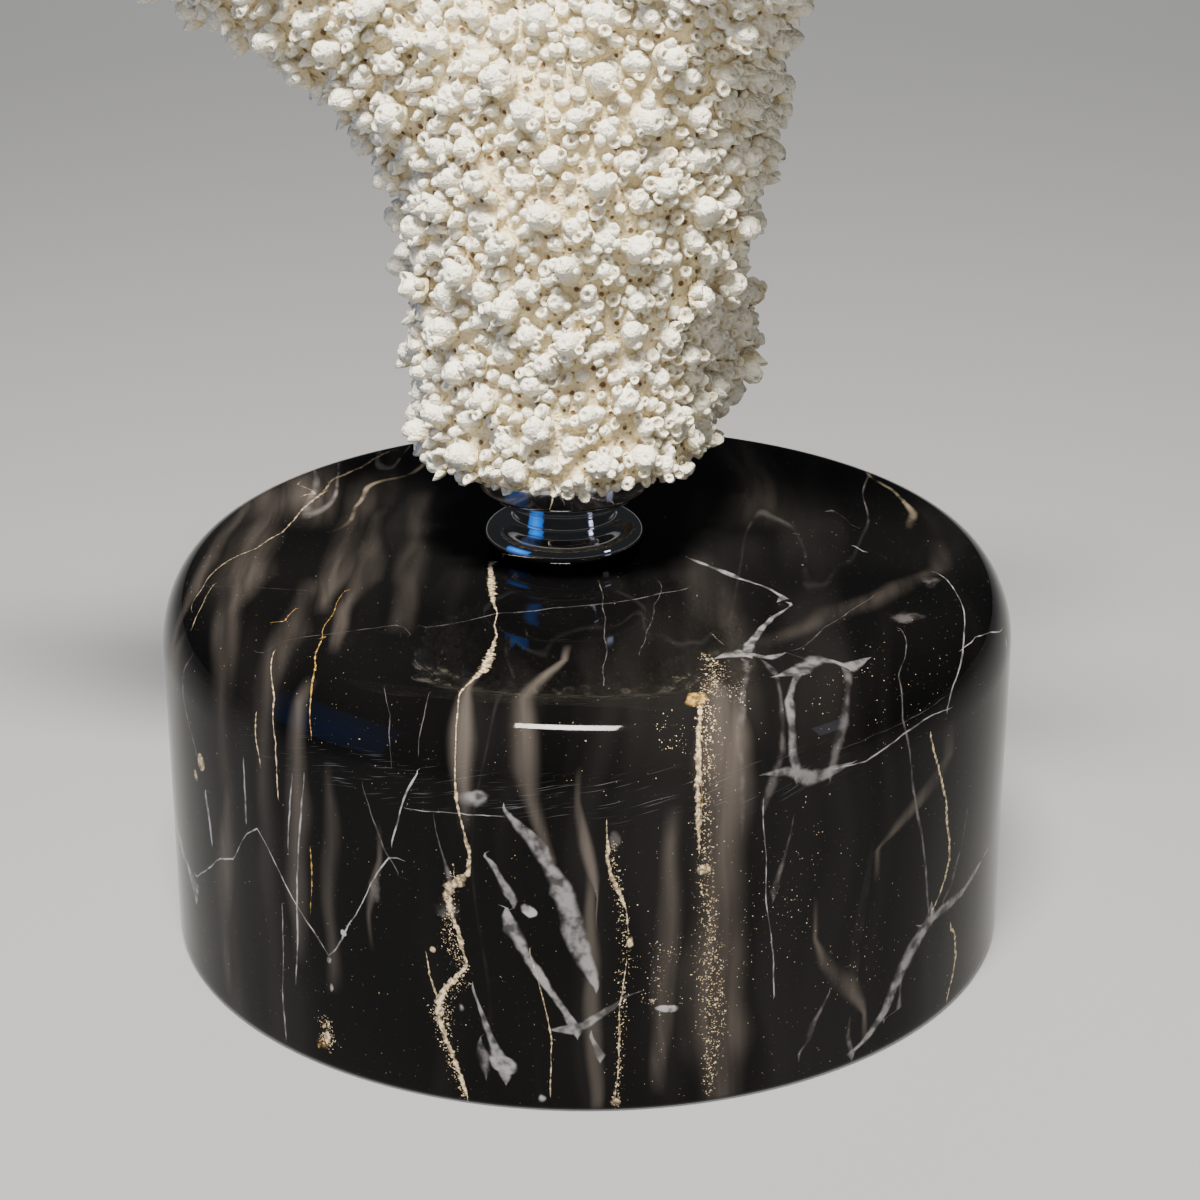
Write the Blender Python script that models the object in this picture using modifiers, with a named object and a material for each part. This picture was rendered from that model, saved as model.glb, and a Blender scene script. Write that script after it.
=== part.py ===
"""A branching coral skeleton held by a polished metal neck on a turned black marble base.

Metres, +Z up. The origin is the middle of the base's underside, and -Y faces the viewer.
The coral is one growth, split into pieces at its main forks. Its knobs are fused to it.
"""

import math
import random

import bmesh
import bpy
from mathutils import Matrix, Vector, noise

MM = 0.001
GAP = 0.3 * MM  # left between pieces that touch
CUT_PAST = 5 * MM  # how far a cutter runs past the face it opens
MERGE_DISTANCE = 0.01 * MM

# Marble base: a puck with a straight wall and a rounded shoulder
BASE_RADIUS = 50 * MM
BASE_HEIGHT = 46 * MM
WALL_HEIGHT = 36.4 * MM
SHOULDER_IN = 7 * MM
SHOULDER_STEPS = 5
FOOT_BEVEL = 0.9 * MM
BASE_SIDES = 48

# Neck and rod share one upright axis, a little left of the base's middle
MOUNT_X = -2.7 * MM
NECK_HEIGHT = 12 * MM
NECK_SIDES = 24
ROD_RADIUS = 3 * MM
ROD_HOLE_RADIUS = ROD_RADIUS + GAP
ROD_SIDES = 24
ROD_IN_BASE = 28 * MM
ROD_IN_CORAL = 20 * MM

# Coral: the limbs' centre lines in millimetres, as x, y, z and the radius under the knobs
CORAL_FOOT = BASE_HEIGHT + NECK_HEIGHT
LIMBS = {
    "stem": [(-2.8, 0, 48, 17.2), (-3, 0, 62, 17.3), (-3.1, 0.3, 71, 17.4), (-2.2, 1, 80, 18.6),
             (-0.6, 2, 91, 21), (1, 3, 101, 22)],
    "back_lobe": [(0, 4, 71, 12), (9.3, 14, 68.5, 12)],
    "left": [(-8, 2, 98, 15.5), (-20, 1.5, 109.5, 14.2), (-33, 0, 118, 13.2), (-46, -2, 124.5, 12.3),
             (-58, -4, 132, 11.4), (-67, -6, 143, 10.6), (-72, -7, 154, 9.4)],
    "left_twig": [(-31, 1, 117, 11), (-35, 6, 130, 11), (-38, 11, 144, 10.4), (-38, 14, 156, 9)],
    "centre": [(-4, 5, 100, 16), (-7, 9, 114, 14.4), (-9, 14, 130, 13.4), (-8, 18, 147, 12),
               (-7, 21, 163, 10.8), (-6, 23, 175, 9.4)],
    "back_twig": [(-9, 14, 127, 11), (-6, 26, 139, 10.6), (-4, 33, 151, 9)],
    "right": [(5, 5, 98, 14), (10, 8, 110, 12.8), (18, 13, 124, 12), (26, 17, 138, 11), (31, 20, 152, 9.2)],
    "front": [(5, -2, 106, 13.5), (13, -9, 117, 11.8), (20, -16, 129, 11), (27, -23, 142, 10.2),
              (31, -27, 154, 9)],
}
BALL_SPACING = 2.5 * MM
SWELLING = 0.05  # share by which a limb's radius wanders
SWELLING_SCALE = 55  # per metre
MESH_SIZE = 3.5 * MM
SMOOTH_ROUNDS = 4

# Knobs: the branchlets that crowd the surface
KNOB_SPACING = 5.2 * MM
KNOB_HEIGHTS = (1.4 * MM, 2.6 * MM)
KNOB_LEAN = 0.35  # towards the growing tips
SEED = 17

# Forks: a point on each piece that meets there. The cuts run halfway between the points.
# The main fork's left branch forks again into a tip and a twig.
MAIN_FORK = {
    "coral_stem": (-3, 1, 78),
    "coral_left_branch": (-31, 0, 124),
    "coral_centre_branch": (-8, 14, 124),
    "coral_right_branch": (17, 12, 118),
    "coral_front_branch": (13, -12, 118),
}
LEFT_FORK = {
    "coral_left_branch": (-27, 1, 108),
    "coral_left_tip": (-50, -3, 126),
    "coral_left_twig": (-34, 9, 134),
}
CUTTER_SIZE = 600 * MM

CORAL_WHITE = (0.82, 0.78, 0.68, 1)
MARBLE_BLACK = (0.012, 0.012, 0.013, 1)
CHROME = (0.72, 0.73, 0.75, 1)
STEEL = (0.45, 0.45, 0.46, 1)


def new_collection(name):
    collection = bpy.data.collections.new(name)
    bpy.context.scene.collection.children.link(collection)
    return collection


def material(name, colour, roughness, metallic=0.0):
    made = bpy.data.materials.new(name)
    made.use_nodes = True
    shader = made.node_tree.nodes["Principled BSDF"]
    shader.inputs["Base Color"].default_value = colour
    shader.inputs["Roughness"].default_value = roughness
    shader.inputs["Metallic"].default_value = metallic
    return made


def mesh_object(name, mesh, collection, finish=None):
    made = bpy.data.objects.new(name, mesh)
    collection.objects.link(made)
    if finish:
        mesh.materials.clear()
        mesh.materials.append(finish)
    return made


def as_cutter(helper):
    """A helper that cuts other objects and is no part of the model."""
    helper.hide_render = True
    helper.display_type = "WIRE"
    return helper


def boolean(target, operation, cutter):
    modifier = target.modifiers.new(f"{operation.lower()} {cutter.name}", "BOOLEAN")
    modifier.operation = operation
    modifier.object = cutter
    modifier.solver = "EXACT"


def turned(name, profile, sides, collection, finish, closed=False):
    """Turns a profile of (radius, height) points, listed down its outer side, about its own Z axis."""
    mesh = bpy.data.meshes.new(name)
    count = len(profile)
    edges = [(i, (i + 1) % count) for i in range(count if closed else count - 1)]
    mesh.from_pydata([(r, 0, z) for r, z in profile], edges, [])
    made = mesh_object(name, mesh, collection, finish)
    screw = made.modifiers.new("turn", "SCREW")
    screw.axis = "Z"
    screw.steps = screw.render_steps = sides
    screw.use_merge_vertices = True
    screw.merge_threshold = MERGE_DISTANCE
    screw.use_smooth_shade = True
    return made


def cylinder(name, radius, bottom, top, collection):
    """An upright cylinder on the mounting axis."""
    mesh = bpy.data.meshes.new(name)
    shape = bmesh.new()
    bmesh.ops.create_cone(shape, cap_ends=True, segments=ROD_SIDES, radius1=radius, radius2=radius,
                          depth=top - bottom)
    shape.to_mesh(mesh)
    shape.free()
    made = mesh_object(name, mesh, collection)
    made.location = (MOUNT_X, 0, (top + bottom) / 2)
    return made


# Base, neck and rod


def base_profile():
    """Down the outside: the flat top, the rounded shoulder, the wall and the bevelled foot."""
    shoulder = []
    for step in range(SHOULDER_STEPS + 1):
        turn = math.radians(90) * (1 - step / SHOULDER_STEPS)
        shoulder.append((
            BASE_RADIUS - SHOULDER_IN * (1 - math.cos(turn)),
            WALL_HEIGHT + (BASE_HEIGHT - WALL_HEIGHT) * math.sin(turn),
        ))
    foot = [(BASE_RADIUS, FOOT_BEVEL), (BASE_RADIUS - FOOT_BEVEL, 0), (0, 0)]
    return [(0, BASE_HEIGHT)] + shoulder + foot


def make_base(parts, cutters):
    base = turned("marble_base", base_profile(), BASE_SIDES, parts,
                  material("polished black marble", MARBLE_BLACK, 0.06))
    hole = as_cutter(cylinder("base_hole", ROD_HOLE_RADIUS, BASE_HEIGHT - ROD_IN_BASE - GAP,
                              BASE_HEIGHT + CUT_PAST, cutters))
    boolean(base, "DIFFERENCE", hole)


def neck_profile():
    """Down the outside: the cup's rim, the waist, the ring and the thin foot, then up the bore."""
    top = NECK_HEIGHT - 2 * GAP
    outside = [
        (9.5, 12), (9.85, 11.7), (9.85, 7.8), (8.8, 6.3), (7.3, 5.2), (5.7, 4.2), (5, 3.4),
        (6, 2.8), (7.8, 2.5), (8.9, 1.9), (9.45, 1), (9.2, 0.4), (8.9, 0),
    ]
    scale = top / outside[0][1]
    return [(r * MM, z * scale) for r, z in outside] + [(ROD_HOLE_RADIUS, 0), (ROD_HOLE_RADIUS, top)]


def make_neck(parts):
    neck = turned("neck", neck_profile(), NECK_SIDES, parts, material("chrome", CHROME, 0.07, 1.0),
                  closed=True)
    neck.location = (MOUNT_X, 0, BASE_HEIGHT + GAP)


def make_rod(parts):
    rod = cylinder("mounting_rod", ROD_RADIUS, BASE_HEIGHT - ROD_IN_BASE, CORAL_FOOT + ROD_IN_CORAL, parts)
    rod.data.materials.append(material("steel", STEEL, 0.4, 1.0))


# Coral


def smooth_route(points):
    """Centre-line places and radii, close together on a smooth curve through a limb's points."""
    knots = [Vector((x, y, z, r)) * MM for x, y, z, r in points]
    knots = [2 * knots[0] - knots[1]] + knots + [2 * knots[-1] - knots[-2]]
    route = []
    for before, start, end, after in zip(knots, knots[1:], knots[2:], knots[3:]):
        steps = max(1, round((end.xyz - start.xyz).length / BALL_SPACING))
        for step in range(steps):
            t = step / steps
            route.append(0.5 * (2 * start + (end - before) * t
                                + (2 * before - 5 * start + 4 * end - after) * t ** 2
                                + (3 * start - before - 3 * end + after) * t ** 3))
    return route + [knots[-2]]


def add_limb(shape, points):
    """Adds a limb as a row of overlapping balls whose radius wanders a little."""
    for ball in smooth_route(points):
        place = ball.xyz
        radius = ball.w * (1 + SWELLING * noise.noise(place * SWELLING_SCALE))
        bmesh.ops.create_icosphere(shape, subdivisions=2, radius=radius, matrix=Matrix.Translation(place))


def fused_limbs(helpers):
    """All limbs as one smooth closed skin."""
    mesh = bpy.data.meshes.new("limbs")
    shape = bmesh.new()
    for points in LIMBS.values():
        add_limb(shape, points)
    shape.to_mesh(mesh)
    shape.free()
    limbs = as_cutter(mesh_object("limbs", mesh, helpers))
    remesh = limbs.modifiers.new("fuse", "REMESH")
    remesh.mode = "VOXEL"
    remesh.voxel_size = MESH_SIZE
    smooth = limbs.modifiers.new("smooth", "SMOOTH")
    smooth.factor = 0.5
    smooth.iterations = SMOOTH_ROUNDS
    graph = bpy.context.evaluated_depsgraph_get()
    skin = bpy.data.meshes.new_from_object(limbs.evaluated_get(graph))
    bpy.data.objects.remove(limbs)
    return skin


def raise_knobs(shape):
    """Raises a spaced-out choice of the skin's points into knobs of uneven height."""
    chance = random.Random(SEED)
    shape.normal_update()
    order = list(shape.verts)
    chance.shuffle(order)
    taken = {}
    knobs = []
    for vert in order:
        cell = tuple(math.floor(c / KNOB_SPACING) for c in vert.co)
        around = [(cell[0] + i, cell[1] + j, cell[2] + k)
                  for i in (-1, 0, 1) for j in (-1, 0, 1) for k in (-1, 0, 1)]
        near = (other for c in around for other in taken.get(c, ()))
        if any((other - vert.co).length < KNOB_SPACING for other in near):
            continue
        taken.setdefault(cell, []).append(vert.co.copy())
        knobs.append(vert)
    for vert in knobs:
        way = vert.normal + Vector((0, 0, KNOB_LEAN))
        vert.co += way.normalized() * chance.uniform(*KNOB_HEIGHTS)


def cut_flat(shape, place, outward):
    """Removes what lies on the outward side of a plane, and closes the cut."""
    geometry = shape.verts[:] + shape.edges[:] + shape.faces[:]
    cut = bmesh.ops.bisect_plane(shape, geom=geometry, plane_co=place, plane_no=outward, clear_outer=True)
    rim = [e for e in cut["geom_cut"] if isinstance(e, bmesh.types.BMEdge)]
    bmesh.ops.triangle_fill(shape, edges=rim, use_beauty=True, normal=outward)
    bmesh.ops.recalc_face_normals(shape, faces=shape.faces[:])


def whole_coral(helpers):
    """The coral's mesh: fused limbs with knobs, sawn off flat where it stands on the neck."""
    mesh = fused_limbs(helpers)
    shape = bmesh.new()
    shape.from_mesh(mesh)
    raise_knobs(shape)
    bmesh.ops.triangulate(shape, faces=shape.faces[:])
    cut_flat(shape, Vector((0, 0, CORAL_FOOT)), Vector((0, 0, -1)))
    shape.to_mesh(mesh)
    shape.free()
    return mesh


def cut_round(shape, name, fork):
    """Cuts a block down to the space nearer to this piece's point than to the fork's other points."""
    own = Vector(fork[name]) * MM
    for other_name, point in fork.items():
        if other_name != name:
            other = Vector(point) * MM
            outward = (other - own).normalized()
            cut_flat(shape, (own + other) / 2 - outward * GAP / 2, outward)


def piece_cutter(name, helpers):
    """The block of space that holds one piece of the coral, less half the gap at each cut."""
    shape = bmesh.new()
    bmesh.ops.create_cube(shape, size=CUTTER_SIZE)
    in_left_branch = name in LEFT_FORK
    cut_round(shape, "coral_left_branch" if in_left_branch else name, MAIN_FORK)
    if in_left_branch:
        cut_round(shape, name, LEFT_FORK)
    mesh = bpy.data.meshes.new(f"{name}_space")
    shape.to_mesh(mesh)
    shape.free()
    return as_cutter(mesh_object(f"{name}_space", mesh, helpers))


def make_coral(parts, cutters):
    coral = whole_coral(cutters)
    finish = material("coral skeleton", CORAL_WHITE, 0.75)
    for name in {**MAIN_FORK, **LEFT_FORK}:
        piece = mesh_object(name, coral.copy(), parts, finish)
        boolean(piece, "INTERSECT", piece_cutter(name, cutters))
        if name == "coral_stem":
            hole = as_cutter(cylinder("coral_hole", ROD_HOLE_RADIUS, CORAL_FOOT - CUT_PAST,
                                      CORAL_FOOT + ROD_IN_CORAL + GAP, cutters))
            boolean(piece, "DIFFERENCE", hole)
    bpy.data.meshes.remove(coral)


def main():
    for old in list(bpy.data.objects):
        bpy.data.objects.remove(old)
    parts = new_collection("coral on a marble base")
    cutters = new_collection("cutters")
    make_base(parts, cutters)
    make_neck(parts)
    make_rod(parts)
    make_coral(parts, cutters)


main()
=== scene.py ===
"""The looks of a mounted coral skeleton: its crowded cups, its chrome neck and its veined marble base."""

import math
import random

import bmesh
import bpy
import numpy as np
from mathutils import Matrix, Vector, noise
from mathutils.bvhtree import BVHTree


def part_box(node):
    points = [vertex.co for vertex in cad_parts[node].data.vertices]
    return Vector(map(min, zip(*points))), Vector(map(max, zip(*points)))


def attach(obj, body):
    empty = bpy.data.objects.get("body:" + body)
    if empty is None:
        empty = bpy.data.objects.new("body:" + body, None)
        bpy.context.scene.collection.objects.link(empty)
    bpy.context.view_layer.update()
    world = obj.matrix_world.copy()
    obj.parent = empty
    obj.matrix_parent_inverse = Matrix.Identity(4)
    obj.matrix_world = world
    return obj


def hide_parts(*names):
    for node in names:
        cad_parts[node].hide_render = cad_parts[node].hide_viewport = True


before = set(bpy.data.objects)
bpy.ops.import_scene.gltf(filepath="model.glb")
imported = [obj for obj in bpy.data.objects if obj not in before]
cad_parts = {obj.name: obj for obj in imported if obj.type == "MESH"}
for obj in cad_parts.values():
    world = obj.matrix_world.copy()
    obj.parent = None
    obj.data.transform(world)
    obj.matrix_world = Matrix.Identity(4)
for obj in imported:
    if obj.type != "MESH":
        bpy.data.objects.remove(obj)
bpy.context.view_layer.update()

MM = 0.001

# The photograph's camera, found from the base's outline
PHOTO_PIXELS = 1200
CAMERA_PLACE = Vector((1.5, -308, 164)) * MM
CAMERA_DOWN = math.radians(22.06)
CAMERA_LENS = 84
SENSOR_WIDTH = 36
FOCAL = CAMERA_LENS / SENSOR_WIDTH * PHOTO_PIXELS  # the lens in the photograph's pixels

# The marble base's chart: its whole turn and its way up are counted from 0 to 1
BASE_RADIUS = 50 * MM
BASE_MIDDLE = (585, 780)  # in the photograph, in pixels
EDGE_TRIES, EDGE_STEP = 20, 0.01  # how a pixel just off the base is drawn in to its middle
WIDEST_PIXEL = 3  # how far a pixel stretches where the base turns away
CHART_TURN = math.radians(300)
CHART_RISE = 100 * MM
WIDEST = 10 * MM  # a vein's half width counts as 1 there
CHART = ("Turn", "Way Up", "Turn Length", "Side", "Depth")
VEIN_TAPER, TAPER_SHARE = 0.005, 1.5  # how far a vein runs on to its point, and more where it is wide
VEIN_GAP = 0.012  # left between veins that share a curve
FADING = 0.045  # how far a soft band fades past its ends
WIDEST_SLANT = 1.6
THINNEST = 0.0005
HAIRLINE = 4.6  # veins below this width in pixels are drawn finer
HAIR_WIDTH = 0.62
PATCH_SWING, PATCH_LEAST = 1.1, 0.45  # how far a patch's edge swings, and its least size
BEHIND = (4 * MM, 20 * MM)  # how far back the pattern of the unseen side comes in
SCRATCHES_ALONG = 52
SCRATCHES_ACROSS = 900
SCRATCH_SLANT = 0.6
SCRATCH_RISE = (0.34, 0.365, 0.385, 0.42)  # where they start, are full, begin to fade and end
SCRATCH_TURN = (0.32, 0.4, 0.56, 0.64)

# Veins of the marble: how they run, their strength, and their points in the photograph, each
# the pixel across, the pixel down and the width in pixels
BROWN_BANDS = [
    ("down", 0.7, [(468, 684, 18), (464, 700, 28), (462, 740, 30), (463, 796, 26)]),
    ("down", 0.7, [(566, 660, 10), (546, 675, 22), (525, 698, 34), (522, 727, 40), (525, 770, 38),
        (530, 800, 28), (538, 825, 20), (554, 860, 8)]),
    ("down", 0.62, [(726, 690, 50), (722, 760, 66), (720, 860, 80), (720, 960, 86), (720, 1050, 78),
        (720, 1098, 60)]),
    ("down", 0.5, [(672, 840, 26), (670, 920, 34), (665, 980, 30), (660, 1060, 20)]),
    ("down", 0.65, [(579, 800, 8), (580, 815, 12), (586, 850, 16), (592, 883, 14), (597, 900, 4)]),
    ("down", 0.6, [(948, 757, 10), (928, 790, 20), (902, 821, 16), (876, 850, 6)]),
    ("down", 0.6, [(814, 938, 8), (827, 962, 20), (846, 982, 22), (860, 1002, 12), (864, 1012, 6)]),
    ("down", 0.45, [(300, 700, 20), (298, 760, 30), (296, 850, 36), (300, 930, 26)]),
    ("down", 0.4, [(330, 800, 20), (330, 870, 28), (333, 960, 20)]),
    ("down", 0.4, [(590, 900, 14), (592, 960, 22), (594, 1040, 22), (596, 1100, 16)]),
    ("down", 0.5, [(226, 800, 16), (222, 880, 26), (226, 960, 16)]),
    ("down", 0.45, [(380, 860, 8), (374, 890, 16), (372, 915, 8)]),
    ("round", 0.2, [(795, 632, 20), (835, 612, 34), (870, 600, 40), (905, 585, 36), (942, 568, 24)]),
]
SMOKE_SHEETS = [
    ("sheet", 1.0, [(288, 486, 40), (270, 515, 58), (252, 548, 74), (240, 580, 70), (230, 610, 46),
        (224, 650, 38), (222, 700, 36)]),
    ("sheet", 0.8, [(246, 505, 16), (210, 556, 24), (190, 600, 24), (178, 645, 22), (172, 690, 16)]),
    ("sheet", 0.9, [(376, 515, 26), (370, 550, 36), (362, 580, 38), (348, 605, 28), (335, 640, 16)]),
    ("sheet", 0.8, [(396, 450, 40), (378, 480, 60), (354, 520, 60), (340, 560, 44), (326, 600, 30)]),
    ("sheet", 0.55, [(310, 590, 30), (290, 630, 44), (272, 680, 40), (262, 730, 34)]),
    ("sheet", 0.5, [(420, 500, 30), (412, 560, 40), (405, 620, 36)]),
    ("sheet", 0.3, [(700, 560, 40), (720, 610, 60), (740, 650, 70), (745, 690, 60)]),
]
GREY_VEINS = [
    ("down", 0.55, [(747, 662, 9), (742, 689, 10), (740, 733, 10), (742, 790, 10), (744, 830, 5)]),
    ("down", 0.5, [(765, 662, 7), (777, 680, 9), (783, 718, 9), (780, 757, 12), (772, 782, 13),
        (765, 806, 8)]),
    ("down", 0.6, [(848, 672, 10), (846, 704, 11), (840, 733, 12), (834, 757, 12), (830, 770, 10)]),
    ("down", 1.0, [(900, 628, 3), (900, 675, 4), (902, 719, 4), (909, 757, 4), (915, 796, 4),
        (925, 866, 4), (929, 910, 4)]),
    ("down", 0.7, [(967, 813, 3), (961, 847, 4), (951, 885, 4), (944, 900, 4)]),
    ("down", 0.8, [(433, 817, 2), (439, 847, 4), (446, 869, 7), (449, 880, 10)]),
    ("down", 1.0, [(363, 787, 2), (373, 817, 3.5), (383, 847, 3.5), (398, 873, 2)]),
    ("down", 0.9, [(192, 656, 2), (184, 672, 2), (183, 698, 2.5), (189, 727, 2.5), (196, 750, 2)]),
    ("down", 0.9, [(385, 687, 1.5), (391, 716, 2.5), (391, 764, 1.5)]),
    ("down", 0.8, [(430, 693, 1.5), (425, 716, 2.5), (418, 753, 1.5)]),
    ("down", 1.0, [(601, 582, 2.5), (603, 604, 3), (605, 645, 2.5), (603, 684, 1.5)]),
    ("down", 0.6, [(660, 581, 2), (654, 604, 2), (647, 631, 2.5), (638, 654, 1.5)]),
    ("down", 0.6, [(793, 819, 4), (785, 852, 5), (776, 889, 9)]),
    ("down", 0.6, [(395, 621, 1.5), (402, 627, 2.5), (410, 635, 2)]),
    ("down", 0.5, [(415, 660, 1.5), (432, 675, 2)]),
    ("round", 0.35, [(207, 588, 2), (260, 588, 2), (310, 590, 2)]),
    ("round", 0.75, [(254, 668, 2), (261, 655, 2), (273, 645, 2.2), (299, 638, 2), (351, 631, 2),
        (394, 625, 1.8)]),
    ("round", 0.75, [(425, 628, 1.8), (494, 614, 2), (552, 608, 1.8), (600, 604, 1.8), (660, 593, 1.8),
        (686, 588, 1.5)]),
    ("round", 0.6, [(800, 648, 2), (824, 628, 2), (848, 612, 2), (871, 597, 2)]),
    ("down", 0.7, [(792, 522, 2), (798, 533, 3), (803, 543, 2.5)]),
    ("down", 0.8, [(809, 496, 3), (833, 510, 5), (856, 528, 3)]),
    ("round", 0.7, [(846, 747, 1.5), (903, 722, 1.5), (944, 698, 1.5)]),
    ("down", 0.8, [(711, 634, 2), (715, 639, 4), (721, 643, 3)]),
    ("down", 1.0, [(480, 1044, 6), (484, 1058, 14), (486, 1072, 10)]),
    ("down", 0.9, [(829, 993, 3), (821, 1009, 5), (813, 1026, 8), (808, 1043, 8), (799, 1052, 5)]),
    ("down", 0.9, [(849, 1021, 4), (847, 1038, 5), (850, 1052, 5)]),
    ("down", 0.9, [(901, 979, 4), (898, 1009, 5), (883, 1018, 4)]),
]
PALE_VEINS = [
    ("down", 0.62, [(503, 811, 5), (515, 825, 10), (538, 847, 16), (551, 872, 20), (566, 902, 27),
        (577, 936, 25), (588, 966, 19), (597, 987, 7)]),
    ("down", 0.6, [(484, 855, 4), (491, 861, 9), (499, 877, 10), (509, 896, 12), (514, 905, 8)]),
    ("down", 0.7, [(507, 916, 10), (513, 932, 22), (524, 951, 16), (538, 973, 11), (551, 992, 10),
        (568, 1016, 7), (578, 1032, 12)]),
    ("down", 0.6, [(472, 987, 3), (480, 1009, 6), (488, 1031, 8), (495, 1047, 10), (502, 1063, 18),
        (505, 1078, 12)]),
    ("down", 0.55, [(591, 1037, 6), (595, 1045, 8), (600, 1053, 12)]),
    ("round", 0.6, [(576, 1031, 10), (591, 1021, 9), (605, 1012, 9), (616, 1006, 6), (627, 993, 3)]),
    ("round", 0.6, [(686, 557, 3), (707, 565, 10), (736, 578, 10), (765, 587, 6), (784, 598, 6)]),
    ("down", 0.6, [(791, 604, 6), (777, 614, 11), (763, 628, 10), (750, 643, 10), (747, 654, 12)]),
    ("round", 0.5, [(715, 659, 3), (727, 655, 6), (747, 652, 8), (765, 658, 6)]),
    ("round", 0.4, [(797, 671, 10), (810, 662, 13), (820, 658, 13), (832, 659, 12), (845, 667, 10)]),
    ("down", 0.42, [(798, 671, 10), (793, 684, 11), (790, 701, 13), (792, 728, 12), (792, 757, 12),
        (796, 774, 14)]),
    ("round", 0.42, [(790, 770, 12), (800, 775, 16), (812, 778, 16), (830, 772, 13), (842, 766, 6)]),
    ("round", 0.8, [(842, 766, 3), (865, 763, 3), (883, 751, 3), (903, 733, 3), (927, 717, 3),
        (946, 711, 2.5)]),
    ("down", 0.75, [(947, 710, 2.5), (953, 686, 3), (962, 660, 3), (964, 631, 3), (959, 598, 3),
        (950, 584, 3), (934, 572, 2)]),
    ("round", 1.0, [(965, 648, 3), (976, 637, 3.5), (990, 633, 3.5), (1001, 632, 3)]),
    ("round", 0.6, [(987, 850, 4), (975, 872, 7), (964, 889, 9), (947, 906, 11), (933, 917, 12)]),
    ("down", 0.6, [(931, 919, 12), (916, 942, 12), (902, 970, 15), (891, 995, 9), (881, 1015, 8),
        (866, 1040, 9), (851, 1054, 7)]),
    ("down", 0.8, [(174, 800, 3), (178, 833, 8), (186, 863, 10), (195, 881, 10)]),
    ("round", 1.0, [(198, 878, 3), (210, 866, 2.4), (218, 857, 2.4), (233, 858, 2.4), (245, 835, 2.4),
        (258, 829, 2.4), (288, 888, 3), (312, 929, 3), (329, 957, 4), (341, 943, 4), (359, 913, 3),
        (376, 872, 3), (389, 855, 3)]),
    ("down", 1.0, [(391, 843, 3), (398, 820, 3), (403, 800, 3), (411, 781, 3.5), (416, 772, 2)]),
    ("down", 0.8, [(292, 778, 3), (290, 810, 3), (288, 850, 2.5)]),
    ("down", 0.9, [(304, 778, 3.2), (297, 877, 3.2), (296, 981, 2.5)]),
    ("down", 0.7, [(282, 905, 2), (283, 987, 2.5), (286, 1036, 2.5)]),
    ("down", 0.7, [(243, 762, 2.5), (246, 820, 3)]),
    ("down", 0.8, [(206, 795, 4), (210, 822, 4), (212, 842, 3)]),
    ("round", 0.9, [(415, 811, 1.8), (450, 813, 2), (491, 817, 1.8)]),
    ("down", 0.8, [(764, 802, 2), (766, 866, 2.4), (769, 914, 2.4), (773, 951, 2.6), (774, 993, 2)]),
    ("down", 0.9, [(856, 546, 1.5), (860, 549, 3), (864, 552, 2)]),
    ("down", 0.9, [(1006, 641, 3), (1007, 655, 4)]),
]
CREAM_VEINS = [
    ("down", 1.0, [(491, 563, 6), (493, 578, 10), (494, 590, 10), (496, 612, 2.5), (497, 635, 3),
        (491, 650, 8), (484, 667, 13), (474, 678, 5), (460, 695, 3), (457, 715, 2.5), (456, 744, 2),
        (454, 779, 3), (456, 793, 5), (459, 809, 4.5), (463, 830, 4.5), (468, 850, 5.5), (467, 870, 6),
        (461, 878, 8), (449, 885, 12), (447, 896, 11), (454, 918, 6), (461, 943, 5), (466, 966, 4.5),
        (453, 981, 6), (440, 1000, 10), (438, 1017, 8), (446, 1042, 6), (455, 1061, 5), (462, 1080, 5),
        (467, 1098, 4)]),
    ("down", 0.9, [(274, 652, 2), (273, 698, 2.5), (272, 716, 2), (276, 744, 2.4), (278, 796, 2.2)]),
    ("down", 0.8, [(255, 716, 2), (260, 764, 2.2)]),
    ("round", 0.5, [(190, 608, 2), (202, 589, 2.2), (225, 563, 2.2), (256, 549, 2.4), (282, 532, 3),
        (299, 515, 3), (322, 493, 3.5)]),
    ("round", 0.5, [(322, 493, 3.5), (334, 479, 3), (362, 467, 2.6), (384, 449, 2.6)]),
    ("round", 0.45, [(296, 484, 2.5), (308, 493, 3), (320, 494, 3)]),
    ("down", 0.5, [(214, 584, 1.5), (204, 603, 2), (193, 627, 2.2)]),
    ("down", 1.0, [(701, 706, 5), (699, 733, 6), (698, 763, 7), (697, 800, 7), (698, 824, 6),
        (699, 850, 4)]),
    ("down", 1.0, [(605, 824, 2), (606, 858, 5), (612, 880, 5), (619, 892, 6), (627, 911, 3.5),
        (629, 931, 2.5)]),
    ("down", 0.9, [(930, 736, 3), (934, 751, 3), (938, 765, 3.5), (946, 801, 3.5), (949, 837, 3.5),
        (950, 861, 3.5), (946, 875, 3.5), (939, 897, 3), (932, 910, 3)]),
    ("down", 0.8, [(951, 926, 3), (955, 934, 3), (956, 953, 3.5), (953, 973, 3), (947, 998, 3)]),
    ("down", 0.7, [(627, 962, 2), (620, 1007, 2.4), (619, 1040, 3.5), (617, 1077, 2), (615, 1098, 4)]),
    ("down", 0.8, [(529, 951, 2.5), (540, 987, 2.8), (548, 1017, 2.8), (552, 1042, 2.8),
        (550, 1094, 2.4)]),
    ("down", 0.9, [(427, 955, 2), (430, 975, 3), (437, 996, 4)]),
]
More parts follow.
